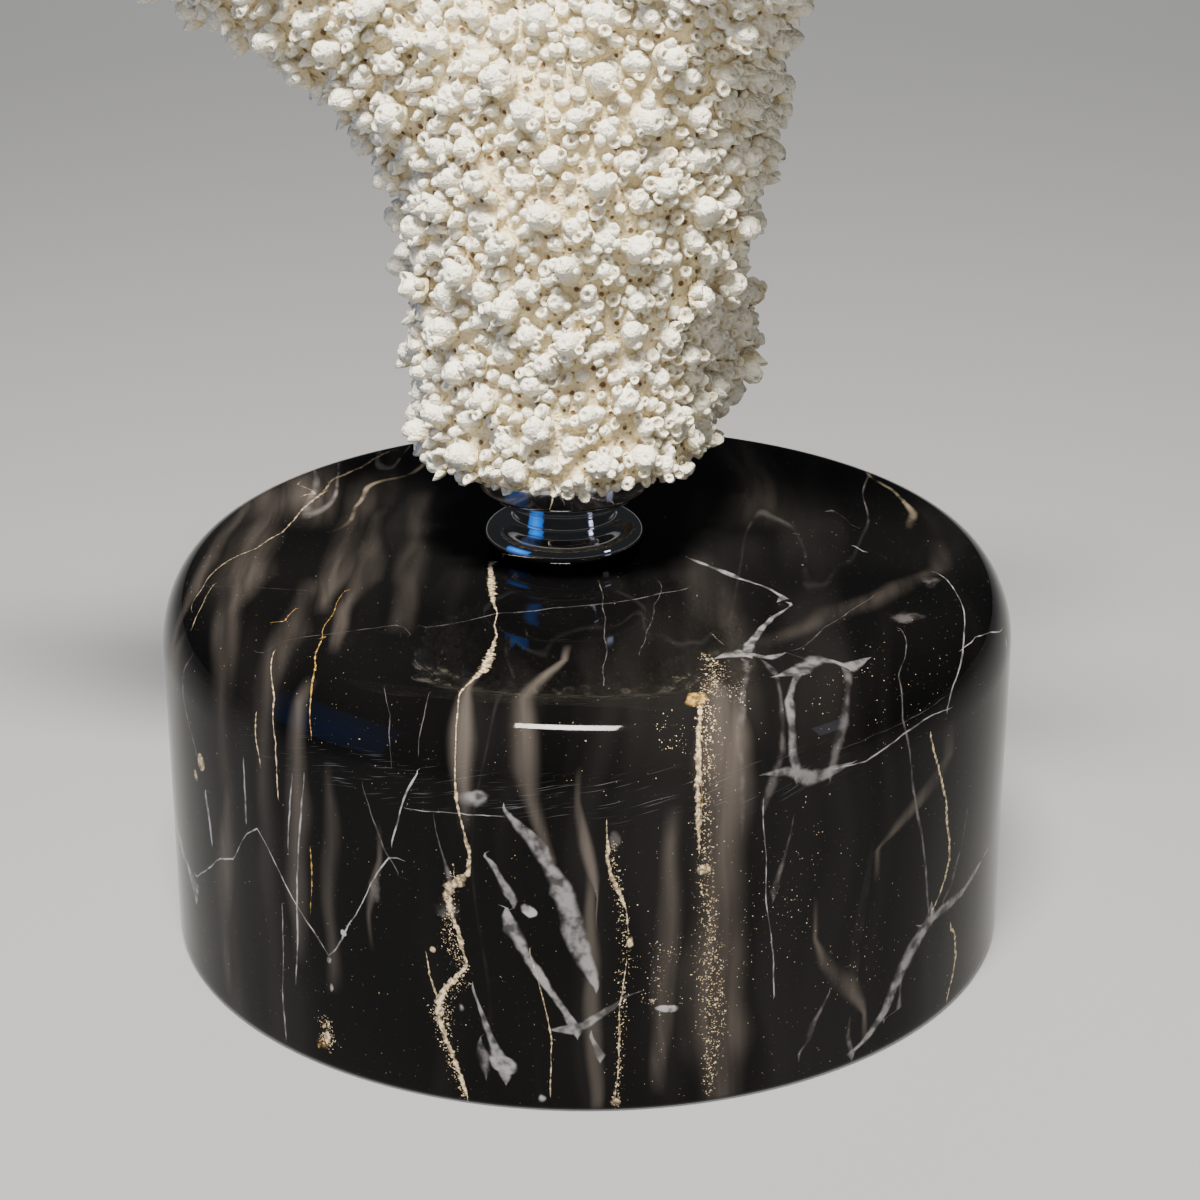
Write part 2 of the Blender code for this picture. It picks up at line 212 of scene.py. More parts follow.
GOLD_VEINS = [
    ("down", 0.7, [(345, 590, 1.5), (331, 615, 2), (322, 638, 2)]),
    ("down", 1.0, [(322, 638, 2), (315, 667, 4), (311, 698, 3), (311, 736, 2.5)]),
    ("down", 0.9, [(310, 852, 2), (311, 880, 2), (311, 910, 1.5)]),
    ("down", 0.8, [(295, 609, 2), (285, 621, 3), (273, 622, 2)]),
    ("down", 0.9, [(701, 706, 2), (701, 733, 2.5), (700, 763, 2), (701, 800, 2.5), (700, 830, 2)]),
    ("down", 0.9, [(609, 868, 2), (615, 884, 3), (622, 899, 2)]),
]
# Rounded patches: pixel across, pixel down, width, height, softness and strength
GREY_BLOTCHES = [
    (908, 618, 48, 24, 0.9, 0.5), (930, 582, 34, 18, 0.9, 0.35), (442, 908, 30, 22, 0.6, 0.35),
    (478, 800, 34, 16, 0.7, 0.8), (374, 893, 12, 26, 0.6, 0.5), (613, 842, 12, 26, 0.6, 0.5),
]
PALE_BLOTCHES = [
    (529, 914, 17, 13, 0.4, 1), (543, 1100, 12, 12, 0.5, 0.9), (481, 798, 26, 14, 0.8, 0.55),
    (502, 1066, 22, 20, 0.4, 0.75), (328, 959, 8, 10, 0.4, 1), (345, 936, 7, 7, 0.4, 1),
    (331, 984, 6, 12, 0.5, 0.8), (668, 1008, 24, 9, 0.4, 1), (462, 1008, 12, 14, 0.6, 0.5),
]
CREAM_BLOTCHES = [
    (202, 762, 17, 18, 0.35, 0.75), (196, 776, 12, 12, 0.4, 0.65), (630, 942, 13, 17, 0.4, 1),
    (703, 869, 12, 10, 0.5, 0.9), (654, 1001, 6, 6, 0.5, 0.8), (453, 883, 18, 10, 0.4, 0.6),
    (615, 1101, 14, 10, 0.6, 0.6), (804, 565, 8, 6, 0.5, 0.7), (326, 1036, 8, 12, 0.5, 0.9),
    (433, 949, 6, 6, 0.5, 0.7),
]
GOLD_BLOTCHES = [
    (697, 696, 24, 26, 0.8, 0.9), (321, 1043, 26, 34, 1.4, 0.5), (319, 1046, 10, 14, 0.5, 0.9),
    (330, 1052, 10, 8, 0.6, 0.7),
]
DUST_TRAILS = [
    ("down", 0.8, [(714, 664, 40), (706, 700, 34), (705, 780, 34), (704, 860, 28), (707, 910, 34),
        (712, 960, 42), (714, 1010, 46), (712, 1050, 34), (708, 1085, 20)]),
    ("down", 0.7, [(612, 850, 14), (620, 900, 22), (628, 950, 22), (624, 1000, 18), (618, 1060, 16),
        (616, 1100, 16)]),
    ("down", 0.8, [(452, 880, 20), (450, 930, 22), (460, 975, 26), (440, 1010, 34), (448, 1050, 22),
        (464, 1096, 16)]),
]
DUST = [
    (732, 690, 60, 60, 0.9, 0.5), (668, 730, 50, 90, 0.9, 0.25), (660, 980, 90, 150, 0.9, 0.35),
    (780, 900, 150, 200, 0.9, 0.1), (325, 1040, 40, 50, 0.8, 0.9), (860, 950, 160, 120, 0.9, 0.1),
    (890, 690, 200, 160, 0.9, 0.08),
]

# Colours. Of a pair, the second shows where the material's noise or grain is high
MARBLE_BLACK = (0.0012, 0.0012, 0.0014), (0.004, 0.0038, 0.0038)
MARBLE_CLOUD = (0.022, 0.020, 0.019)
MARBLE_SMOKE = (0.118, 0.100, 0.088)
MARBLE_HAIR = (0.17, 0.155, 0.15)
MARBLE_BACK_VEIN = (0.30, 0.24, 0.17)
# Scratch colour: the pale scratched stone together with a painted glint
MARBLE_SCRATCH_AND_GLINT = (0.34, 0.34, 0.38)
VEIN_GREY = (0.105, 0.096, 0.098)
VEIN_PALE = (0.30, 0.29, 0.30)
VEIN_CREAM = (0.56, 0.44, 0.29)
VEIN_GOLD = (0.44, 0.27, 0.08)
POWDER = (0.40, 0.24, 0.08), (0.74, 0.62, 0.44)
SPECKS = (0.52, 0.36, 0.15), (0.80, 0.72, 0.58)
CHROME = (0.60, 0.60, 0.62), (0.78, 0.78, 0.79)
STEEL = (0.34, 0.34, 0.35), (0.5, 0.5, 0.51)
# Painted crevice shade: the warmer, darker tan low between the cups, which stands for occlusion and warm
# glow
CORAL_CREVICE_SHADE = (0.68, 0.55, 0.33), (0.82, 0.73, 0.50)
CORAL_WHITE = (0.81, 0.765, 0.635), (0.92, 0.88, 0.755)
CORAL_SPECK = (0.40, 0.29, 0.16)
# Painted pits: dark brown spots that stand for the shade of tiny holes in the skin
CORAL_PIT_BROWN_AND_SHADE = (0.22, 0.12, 0.045)
# First the pores' dark brown, their brown with painted hole shade, then the painted tan shade of a cup's
# hollow, used higher up the cup
CORAL_HOLLOW_BROWN_AND_SHADE = (0.15, 0.075, 0.028), (0.42, 0.33, 0.20)

MARBLE_GLOSS = 0.075
TURNING_MARKS = (40, 40, 9000)  # to a metre, along each axis
DRAWN_MARKS = (3000, 3000, 60)

# The coral's noises, per metre
PATCH_SCALE = 90
SKIN_GRAIN_SCALE = 1000
PIT_SCALE = 1150
GRAIN_SCALE = 2600

# The turned pieces
BASE_WALL = 36.4 * MM  # the height where the shoulder starts
BASE_SHOULDER = 7 * MM
BASE_FOOT = 0.9 * MM
BASE_SIDES = 192
NECK_DRAWN = 11.4  # the neck's height in its drawn profile, in millimetres
NECK_SIDES = 96

# The coral's forks, as in its solids: a point on each piece that meets there, in millimetres
MAIN_FORK = {
    "coral_stem": (-3, 1, 78),
    "coral_left_branch": (-31, 0, 124),
    "coral_centre_branch": (-8, 14, 124),
    "coral_right_branch": (17, 12, 118),
    "coral_front_branch": (13, -12, 118),
}
LEFT_FORK = {
    "coral_left_branch": (-27, 1, 108),
    "coral_left_tip": (-50, -3, 126),
    "coral_left_twig": (-34, 9, 134),
}
CORAL_NODES = sorted({**MAIN_FORK, **LEFT_FORK})

# The way each piece grows, which its cups lean towards. It fades away from the piece's fork point
GROWTH_REACH = 16 * MM
GROWTH = {
    "coral_stem": (-0.8, -0.1, 0.7),
    "coral_left_branch": (-0.85, 0, 0.6),
    "coral_left_tip": (-0.6, -0.2, 0.8),
    "coral_left_twig": (-0.2, 0.3, 0.95),
    "coral_centre_branch": (-0.1, 0.3, 0.95),
    "coral_right_branch": (0.5, 0.3, 0.8),
    "coral_front_branch": (0.4, -0.45, 0.8),
}

# The coral's skin between the cups
SKIN_MESH = 1.15 * MM
SKIN_SMOOTHING = 14
SKIN_INSET = 0.9 * MM  # so that the cups' tips reach as far as the solids' knobs
INSET_RISE = 3 * MM  # the inset grows over this height above the foot
SKIN_LUMP = 0.3 * MM
SKIN_LUMP_SCALE = 330  # per metre
SEED = 5

# Branchlets, the largest cups, stand on the knobs of the solids. Then each kind fills the skin:
# its spacing, and how many of the scattered places it tries
KNOB_HEIGHT = 1.2 * MM  # a knob stands at least this far off the skin
KNOB_SPACING = 3.3 * MM
FILLS = {"branchlet": (3.1 * MM, 8000), "cup": (1.34 * MM, 55000), "pore": (1.05 * MM, 80000)}
SCATTERED = 80000
WIDEST_SPACING = 5.5 * MM
SPACING_SWING = (0.85, 1.15)
YOUNG_HEIGHT = 112 * MM  # above this the growth is younger and less crowded
YOUNG_OPENING = 0.0045  # how much wider the spacing is for each millimetre above it
NECK_AXIS = Vector((-2.7, 0)) * MM
NECK_REACH = 10.6 * MM  # nothing grows down on to the neck within it
FOOT_ZONE = 4 * MM  # cups don't point far down this near the coral's foot
STEEPEST = -0.25
UNDERSIDE = -0.8  # skin that faces further down than this has few cups
BRANCHLET_LEAN, CUP_LEAN = (0.35, 0.8), (0.3, 0.9)  # how much the growth draws them its way

# The cups' sizes in millimetres, each from the least to the most
KNOB_RADIUS, KNOB_PAST = (1.15, 1.55), (0.1, 0.7)
BRANCHLET_RADIUS, BRANCHLET_LENGTH = (1.0, 1.35), (1.5, 2.5)
BRANCHLET_MOUTHS = (0.5, 0.8, 1.0, 1.3, 1.9)  # as shares of its drawn mouth
PETALS = (3, 4, 4, 5, 5, 6)  # how many it may have
PETAL_RADIUS, PETAL_LENGTH = (0.5, 0.85), (0.8, 1.5)
CUP_RADIUS, CUP_LENGTH = (0.55, 1.0), (0.7, 1.8)
PORE_RADIUS, PORE_LENGTH = (0.32, 0.52), 0.5

# Small cups: the rings that make them, their share of the radius, and from the least to the most
# their lip's rise, their flatness and the width of their mouth
SMALL_CUPS = {
    "closed": ("bud", 0.95, (-0.2, 0.6), (0.75, 1.0)),
    "half": ("cup", 1.05, (0.5, 1.0), (0.78, 0.96), (1.15, 1.45)),
    "round": ("cup", 1.0, (0.0, 0.6), (0.8, 1.0), (0.6, 1.0)),
}
PETAL_BUDS, CUP_BUDS, HALF_CUPS = 0.35, 0.3, 0.6  # how often they come
CUP_UNEVENNESS = 0.06
SWELL = 0.05 * MM
SWELL_WAVES = (900, 1700, 2600)  # per metre

# Rings of each kind of cup, from the bottom pole to the top pole or the pole in its hollow. Each
# ring is the share of the radius, then its height as a share of the length and a share of the
# radius, then its two values: how far up the cup it counts as, and how deep in the hollow it lies.
RING_VALUES = ("rise", "hollow")
CUP_KINDS = {
    "branchlet": (11, [
        (0, 0, -0.4, 0, 0), (1.3, 0, -0.2, 0.1, 0), (1.06, 0.3, 0, 0.5, 0), (1.0, 1, -0.8, 0.9, 0),
        (0.86, 1, -0.34, 1, 0), (0.57, 1, -0.06, 1, 0), (0.33, 1, 0, 0.95, 0), (0.17, 1, -0.08, 0.6, 0.3),
        (0, 1, -0.3, 0.4, 0.6)]),
    "cup": (8, [
        (0, 0, -0.95, 0, 0), (0.85, 0, -0.55, 0, 0), (1.04, 0.35, 0, 0.5, 0), (0.94, 1, -0.22, 1, 0),
        (0.7, 1, 0.02, 1, 0), (0.44, 0.9, -0.15, 0.6, 0.4), (0, 0.5, 0, 0.2, 0.8)]),
    "bud": (6, [
        (0, 0, -0.95, 0, 0), (0.85, 0, -0.55, 0, 0), (1.03, 0.4, 0, 0.6, 0), (0.88, 1, -0.42, 0.95, 0),
        (0.5, 1, -0.06, 1, 0), (0, 1, 0.02, 1, 0)]),
    "pore": (6, [
        (0, 0, -0.6, 0, 0), (1.75, 0, -0.3, 0, 0), (1.15, 0, 0.34, 0.3, 0), (0.8, 0, 0.42, 0.1, 0.6),
        (0.5, 0, 0.2, 0, 1), (0, 0, 0.12, 0, 1)]),
}

# The stage
FLOOR_GREY = (0.2, 0.2, 0.2, 1)
FLOOR_GLOW = 0.2
BACKDROP_GREY = (0.22, 0.22, 0.22, 1)
SKY_BLUE = (0.85, 0.93, 1, 1)
SKY_STRENGTH = 0.028

# Lamps: place, size, power, colour, spread in degrees, what they point at, and whether surfaces
# mirror them
LAMPS = {
    "key": ((-0.06, -0.42, 0.87), (0.32, 0.12), 3.0, (1, 0.955, 0.86), 50, (0, -0.03, 0.05), True),
    "fill_left": ((-0.8, -0.3, 0.3), (0.6, 0.5), 0.22, (0.01, 0.25, 1), 60, (0, 0, 0.08), True),
    "fill_right": ((0.75, -0.35, 0.3), (0.14, 0.14), 0.03, (0.68, 0.72, 1), 60, (0, 0, 0.08), True),
    "fill_front": ((0, -0.95, 0.42), (0.6, 0.4), 0.3, (1, 0.97, 0.9), 60, (0, 0, 0.08), False),
    "back": ((0, 1.0, 0.9), (0.8, 0.5), 3.0, (1, 0.98, 0.95), 90, (0, 0.65, 0), False),
}


# Helpers


def new_object(name, data):
    made = bpy.data.objects.new(name, data)
    bpy.context.scene.collection.objects.link(made)
    return made


def evaluated_mesh(obj):
    """The object's mesh with its modifiers applied, after which the object is gone."""
    graph = bpy.context.evaluated_depsgraph_get()
    mesh = bpy.data.meshes.new_from_object(obj.evaluated_get(graph))
    bpy.data.objects.remove(obj)
    return mesh


def vectors(mesh, field):
    values = np.empty(len(mesh.vertices) * 3)
    mesh.vertices.foreach_get(field, values)
    return values.reshape(-1, 3)


def unit(rows):
    return rows / np.linalg.norm(rows, axis=1, keepdims=True)


# Materials


class Nodes:
    """Adds nodes to a tree. Each value is a constant or the socket that it comes from."""

    def __init__(self, tree):
        self.tree = tree

    def put(self, value, socket):
        if isinstance(value, bpy.types.NodeSocket):
            self.tree.links.new(value, socket)
        else:
            socket.default_value = value

    def add(self, kind, inputs, **settings):
        node = self.tree.nodes.new("ShaderNode" + kind)
        for key, value in settings.items():
            setattr(node, key, value)
        for key, value in inputs.items():
            self.put(value, node.inputs[key])
        return node

    def math(self, operation, *values):
        return self.add("Math", dict(enumerate(values)), operation=operation).outputs[0]

    def times(self, first, second):
        return self.math("MULTIPLY", first, second)

    def times_plus(self, first, second, third):
        return self.math("MULTIPLY_ADD", first, second, third)

    def minus(self, first, second):
        return self.math("SUBTRACT", first, second)

    def size_of(self, value):
        return self.math("ABSOLUTE", value)

    def larger(self, first, second):
        """The larger of two values, or the second where there is no first."""
        return second if first is None else self.math("MAXIMUM", first, second)

    def vector_math(self, operation, *values):
        return self.add("VectorMath", dict(enumerate(values)), operation=operation).outputs

    def mix(self, share, first, second):
        """A blend of two colours."""
        first, second = ((*c, 1) if isinstance(c, tuple) else c for c in (first, second))
        return self.add("Mix", {0: share, 6: first, 7: second}, data_type="RGBA").outputs[2]

    def step(self, value, low, high, start=0.0, end=1.0):
        """Goes softly from start to end while the value goes from low to high."""
        return self.add("MapRange", {0: value, 1: low, 2: high, 3: start, 4: end},
                        interpolation_type="SMOOTHSTEP", clamp=False).outputs[0]

    def between(self, value, start, full, fading, end):
        """Goes up to 1 from start to full, and back to 0 from fading to end."""
        return self.times(self.step(value, start, full), self.step(value, fading, end, 1, 0))

    def noise(self, place, scale, detail, output="Fac"):
        return self.add("TexNoise", {"Vector": place, "Scale": scale, "Detail": detail}).outputs[output]

    def cells(self, place, scale):
        return self.add("TexVoronoi", {"Vector": place, "Scale": scale}).outputs

    def object_place(self):
        return self.add("TexCoord", {}).outputs["Object"]

    def stretched(self, place, scale, turn=(0, 0, 0)):
        return self.add("Mapping", {"Vector": place, "Scale": scale, "Rotation": turn}).outputs[0]

    def relief(self, height, depth, strength):
        return self.add("Bump", {"Height": height, "Distance": depth, "Strength": strength}).outputs[0]

    def finish(self, shader, colour, roughness, normal=None):
        """The last links of a material."""
        for name, value in (("Base Color", colour), ("Roughness", roughness), ("Normal", normal)):
            if value is not None:
                self.put(value, shader.inputs[name])


def new_material(name):
    material = bpy.data.materials.new(name)
    material.use_nodes = True
    return material, material.node_tree, material.node_tree.nodes["Principled BSDF"]


def coral_material():
    """Chalky white at the tips, warmer and darker low between the cups as painted crevice shade, brown in
    the pores and pits with painted hole shade, and finely granular.
    """
    material, tree, shader = new_material("coral_skeleton")
    nodes = Nodes(tree)
    place = nodes.object_place()
    rise, hollow = (nodes.add("Attribute", {}, attribute_name=name).outputs["Fac"]
                    for name in RING_VALUES)
    grain = nodes.noise(place, GRAIN_SCALE, 1)
    low = nodes.step(rise, 0.02, 0.3, 1, 0)
    pits = nodes.times(nodes.step(nodes.cells(place, PIT_SCALE)["Distance"], 0.14, 0.3, 1, 0), low)

    # Painted crevice shade: low between the cups the colour turns warmer and darker, and the tips stay
    # white
    crevice_shade = nodes.mix(nodes.noise(place, PATCH_SCALE, 1), *CORAL_CREVICE_SHADE)
    white = nodes.mix(grain, *CORAL_WHITE)
    colour = nodes.mix(nodes.step(rise, 0.0, 0.85), crevice_shade, white)
    colour = nodes.mix(nodes.step(grain, 0.36, 0.5, 0.16, 0), colour, CORAL_SPECK)
    # Painted pits: the shade of tiny holes, painted as dark brown spots on the low skin
    colour = nodes.mix(nodes.times(pits, 0.8), colour, CORAL_PIT_BROWN_AND_SHADE)
    # A cup's hollow is painted tan shade, but a pore in the skin is brown with the painted shade of a deep
    # hole
    # Painted hole shade: pores go dark brown and cup hollows go tan
    brown = nodes.mix(nodes.step(rise, 0, 0.18), *CORAL_HOLLOW_BROWN_AND_SHADE)
    colour = nodes.mix(nodes.step(hollow, 0.3, 0.95), colour, brown)

    rough_skin = nodes.times(nodes.times(nodes.noise(place, SKIN_GRAIN_SCALE, 1), low), 3.0)
    relief = nodes.relief(nodes.times_plus(grain, 2.0, rough_skin), 0.2 * MM, 0.8)
    nodes.finish(shader, colour, nodes.step(grain, 0.3, 0.7, 0.68, 0.9), relief)
    return material


def chrome_material():
    """Mirror chrome with faint turning marks."""
    material, tree, shader = new_material("chrome")
    nodes = Nodes(tree)
    place = nodes.object_place()
    turning = nodes.noise(nodes.stretched(place, TURNING_MARKS), 1, 2)
    smears = nodes.noise(place, 350, 4)
    nodes.finish(shader, nodes.mix(smears, *CHROME), nodes.step(smears, 0.35, 0.75, 0.04, 0.12),
                 nodes.relief(turning, 0.004 * MM, 0.3))
    shader.inputs["Metallic"].default_value = 1
    return material


def steel_material():
    """The rod's plain drawn steel."""
    material, tree, shader = new_material("rod_steel")
    nodes = Nodes(tree)
    streaks = nodes.noise(nodes.stretched(nodes.object_place(), DRAWN_MARKS), 1, 3)
    nodes.finish(shader, nodes.mix(streaks, *STEEL), nodes.step(streaks, 0.3, 0.7, 0.3, 0.5))
    shader.inputs["Metallic"].default_value = 1
    return material


def new_group(name, inputs, outputs):
    """An empty node group with float or vector sockets, given as (name, kind)."""
    group = bpy.data.node_groups.new(name, "ShaderNodeTree")
    for labels, side in ((inputs, "INPUT"), (outputs, "OUTPUT")):
        for label, kind in labels:
            group.interface.new_socket(label, in_out=side, socket_type="NodeSocket" + kind)
    inner, outer = (group.nodes.new("NodeGroup" + side) for side in ("Input", "Output"))
    return Nodes(group), inner.outputs, outer.inputs


def marble_chart_group():
    """The base's skin laid flat: the turn round it, the way up its wall and in over its top, the
    length that the whole turn has at this radius, and the plain side and depth. All but the length
    run from 0 to 1."""
    nodes, inputs, outputs = new_group("marble_chart", [("Place", "Vector")],
                                       [(label, "Float") for label in CHART])
    x, y, z = nodes.add("SeparateXYZ", {0: inputs["Place"]}).outputs
    turn = nodes.math("ARCTAN2", x, nodes.times(y, -1.0))
    radius = nodes.math("SQRT", nodes.math("ADD", nodes.math("POWER", x, 2.0), nodes.math("POWER", y, 2.0)))
    way_up = nodes.math("ADD", z, nodes.minus(BASE_RADIUS, radius))
    values = (nodes.times_plus(turn, 1 / CHART_TURN, 0.5), nodes.times(way_up, 1 / CHART_RISE),
              nodes.times(radius, CHART_TURN), nodes.times_plus(x, 1 / CHART_RISE, 0.5),
              nodes.times_plus(y, 1 / CHART_RISE, 0.5))
    for label, value in zip(CHART, values):
        nodes.put(value, outputs[label])
    return nodes.tree


class BaseChart:
    """Reads a pixel of the photograph as a place on the marble base."""

    def __init__(self, puck):
        mesh = puck.data
        self.tree = BVHTree.FromPolygons([v.co for v in mesh.vertices], [p.vertices for p in mesh.polygons])
        self.view = Matrix.Rotation(math.radians(90) - CAMERA_DOWN, 3, "X")

    def place(self, u, v):
        """The place under a pixel, and a pixel's size there. A pixel just off the base is drawn in."""
        half = PHOTO_PIXELS / 2
        for _ in range(EDGE_TRIES):
            ray = (self.view @ Vector(((u - half) / FOCAL, (half - v) / FOCAL, -1))).normalized()
            hit, _, _, away = self.tree.ray_cast(CAMERA_PLACE, ray)
            if hit is not None:
                return hit, away / FOCAL
            u += (BASE_MIDDLE[0] - u) * EDGE_STEP
            v += (BASE_MIDDLE[1] - v) * EDGE_STEP
        raise ValueError(f"pixel {u}, {v} is off the base")

    def spot(self, u, v):
        """Turn and way up as the chart counts them, the radius, and the size of a pixel there."""
        hit, pixel = self.place(u, v)
        radius = math.hypot(hit.x, hit.y)
        turn = math.atan2(hit.x, -hit.y) / CHART_TURN + 0.5
        return turn, (hit.z + BASE_RADIUS - radius) / CHART_RISE, radius, pixel

    def run_spot(self, run, u, v):
        """How far along and across a run a pixel lies, how wide the pixel is across it, and how long
        the chart's step across is against its step along."""
        turn, way_up, radius, pixel = self.spot(u, v)
        if run == "sheet":
            hit, _ = self.place(u, v)
            return hit.y / CHART_RISE + 0.5, hit.x / CHART_RISE + 0.5, pixel, 1
        round_step = CHART_TURN * radius / CHART_RISE
        if run == "down":
            turn_beside = self.spot(u + math.copysign(1, BASE_MIDDLE[0] - u), v)[0]
            beside = abs(turn - turn_beside) * CHART_TURN * radius
            return way_up, turn, min(max(beside, pixel), WIDEST_PIXEL * pixel), round_step
        way_up_beside = self.spot(u, v + math.copysign(1, BASE_MIDDLE[1] - v))[1]
        beside = abs(way_up - way_up_beside) * CHART_RISE
        return turn, way_up, min(max(beside, pixel), WIDEST_PIXEL * pixel), 1 / round_step


def vein_rows(base_chart, route, softness, fading):
    """A vein's rows, sorted along its run: how far along, across, its half width and its strength. It
    ends in a point, or where it is fading keeps its width."""
    run, strength, points = route
    spots = sorted((*base_chart.run_spot(run, u, v), width) for u, v, width in points)
    rows = []
    for index, (along, across, pixel, step, width) in enumerate(spots):
        # A slanting vein is wider across its run than it is itself
        before, after = spots[max(index - 1, 0)], spots[min(index + 1, len(spots) - 1)]
        slant = (after[1] - before[1]) * step / max(after[0] - before[0], 0.001)
        width *= HAIR_WIDTH if width < HAIRLINE else 1
        width *= min(math.hypot(1, slant), WIDEST_SLANT)
        rows.append((along, across, width * pixel / 2 / WIDEST, strength))
    first, last = rows[0], rows[-1]
    if fading:
        return [(first[0] - FADING, *first[1:3], 0), *rows, (last[0] + FADING, *last[1:3], 0)]
    start, end = (VEIN_TAPER + TAPER_SHARE * softness * row[2] * WIDEST / CHART_RISE
                  for row in (first, last))
    return [(first[0] - start, first[1], 0, strength), *rows, (last[0] + end, last[1], 0, strength)]


def shared_curves(base_chart, routes, softness, fading):
    """Veins that run the same way, one after another, share a curve: its run and its rows."""
    curves = []
    veins = sorted((vein_rows(base_chart, route, softness, fading), route[0]) for route in routes)
    for rows, own_run in veins:
        for run, taken in curves:
            if run == own_run and rows[0][0] > taken[-1][0] + VEIN_GAP:
                taken += rows
                break
        else:
            curves.append((own_run, rows))
    return curves


def route_curve(nodes, along, rows):
    """Curves through the rows, which put out the place across, the half width and the strength."""
    node = nodes.add("RGBCurve", {1: along})
    for channel in range(3):
        curve = node.mapping.curves[channel]
        while len(curve.points) < len(rows):
            curve.points.new(0.5, 0.5)
        for point, row in zip(curve.points, rows):
            point.location = (row[0], row[1 + channel])
            point.handle_type = "VECTOR"
    node.mapping.use_clip = False
    node.mapping.update()
    return nodes.add("SeparateColor", {0: node.outputs[0]}).outputs


def vein_mask(nodes, runs, fray, run, rows, softness):
    """The mask of the veins that share one curve."""
    along, across, length = runs[run]
    middle, half_width, strength = route_curve(nodes, along, rows)
    off = nodes.size_of(nodes.times(nodes.minus(across, middle), length))
    inside = nodes.minus(nodes.times(half_width, fray), off)
    edge = nodes.times(nodes.larger(half_width, THINNEST), softness * WIDEST)
    return nodes.times(nodes.step(inside, 0, edge), strength)


def blotch_mask(nodes, chart, fray, base_chart, row):
    """A rounded patch's mask."""
    u, v, wide, high, softness, strength = row
    turn, way_up, radius, pixel = base_chart.spot(u, v)
    scale = (CHART_TURN * radius / (wide * pixel / 2), CHART_RISE / (high * pixel / 2), 0)
    away = nodes.vector_math("MULTIPLY_ADD", chart, scale, (-turn * scale[0], -way_up * scale[1], 0))[0]
    length = nodes.vector_math("LENGTH", away)["Value"]
    return nodes.step(nodes.minus(fray, length), 0, softness, 0, strength)


def marble_layer(name, base_chart, softness, frayed, routes, patches, fading):
    """A group that puts out one mask for all the veins and patches of one colour. Its width swings
    by the frayed share each way."""
    nodes, inputs, outputs = new_group(name, [(label, "Float") for label in (*CHART, "Fray", "Slow Fray")],
                                       [("Mask", "Float")])
    turn, way_up = inputs["Turn"], inputs["Way Up"]
    by_turn, by_way_up, by_depth = (nodes.add("CombineColor", {0: value, 1: value, 2: value}).outputs[0]
                                    for value in (turn, way_up, inputs["Depth"]))
    runs = {"down": (by_way_up, turn, inputs["Turn Length"]), "round": (by_turn, way_up, CHART_RISE),
            "sheet": (by_depth, inputs["Side"], CHART_RISE)}
    fray = nodes.times_plus(inputs["Fray"], 2 * frayed * WIDEST, (1 - frayed) * WIDEST)
    total = None
    for run, rows in shared_curves(base_chart, routes, softness, fading):
        total = nodes.larger(total, vein_mask(nodes, runs, fray, run, rows, softness))
    if patches:
        chart = nodes.add("CombineXYZ", {0: turn, 1: way_up}).outputs[0]
        fray = nodes.times_plus(inputs["Slow Fray"], PATCH_SWING, PATCH_LEAST)
        for row in patches:
            total = nodes.larger(total, blotch_mask(nodes, chart, fray, base_chart, row))
    nodes.put(total, outputs["Mask"])
    return nodes.tree


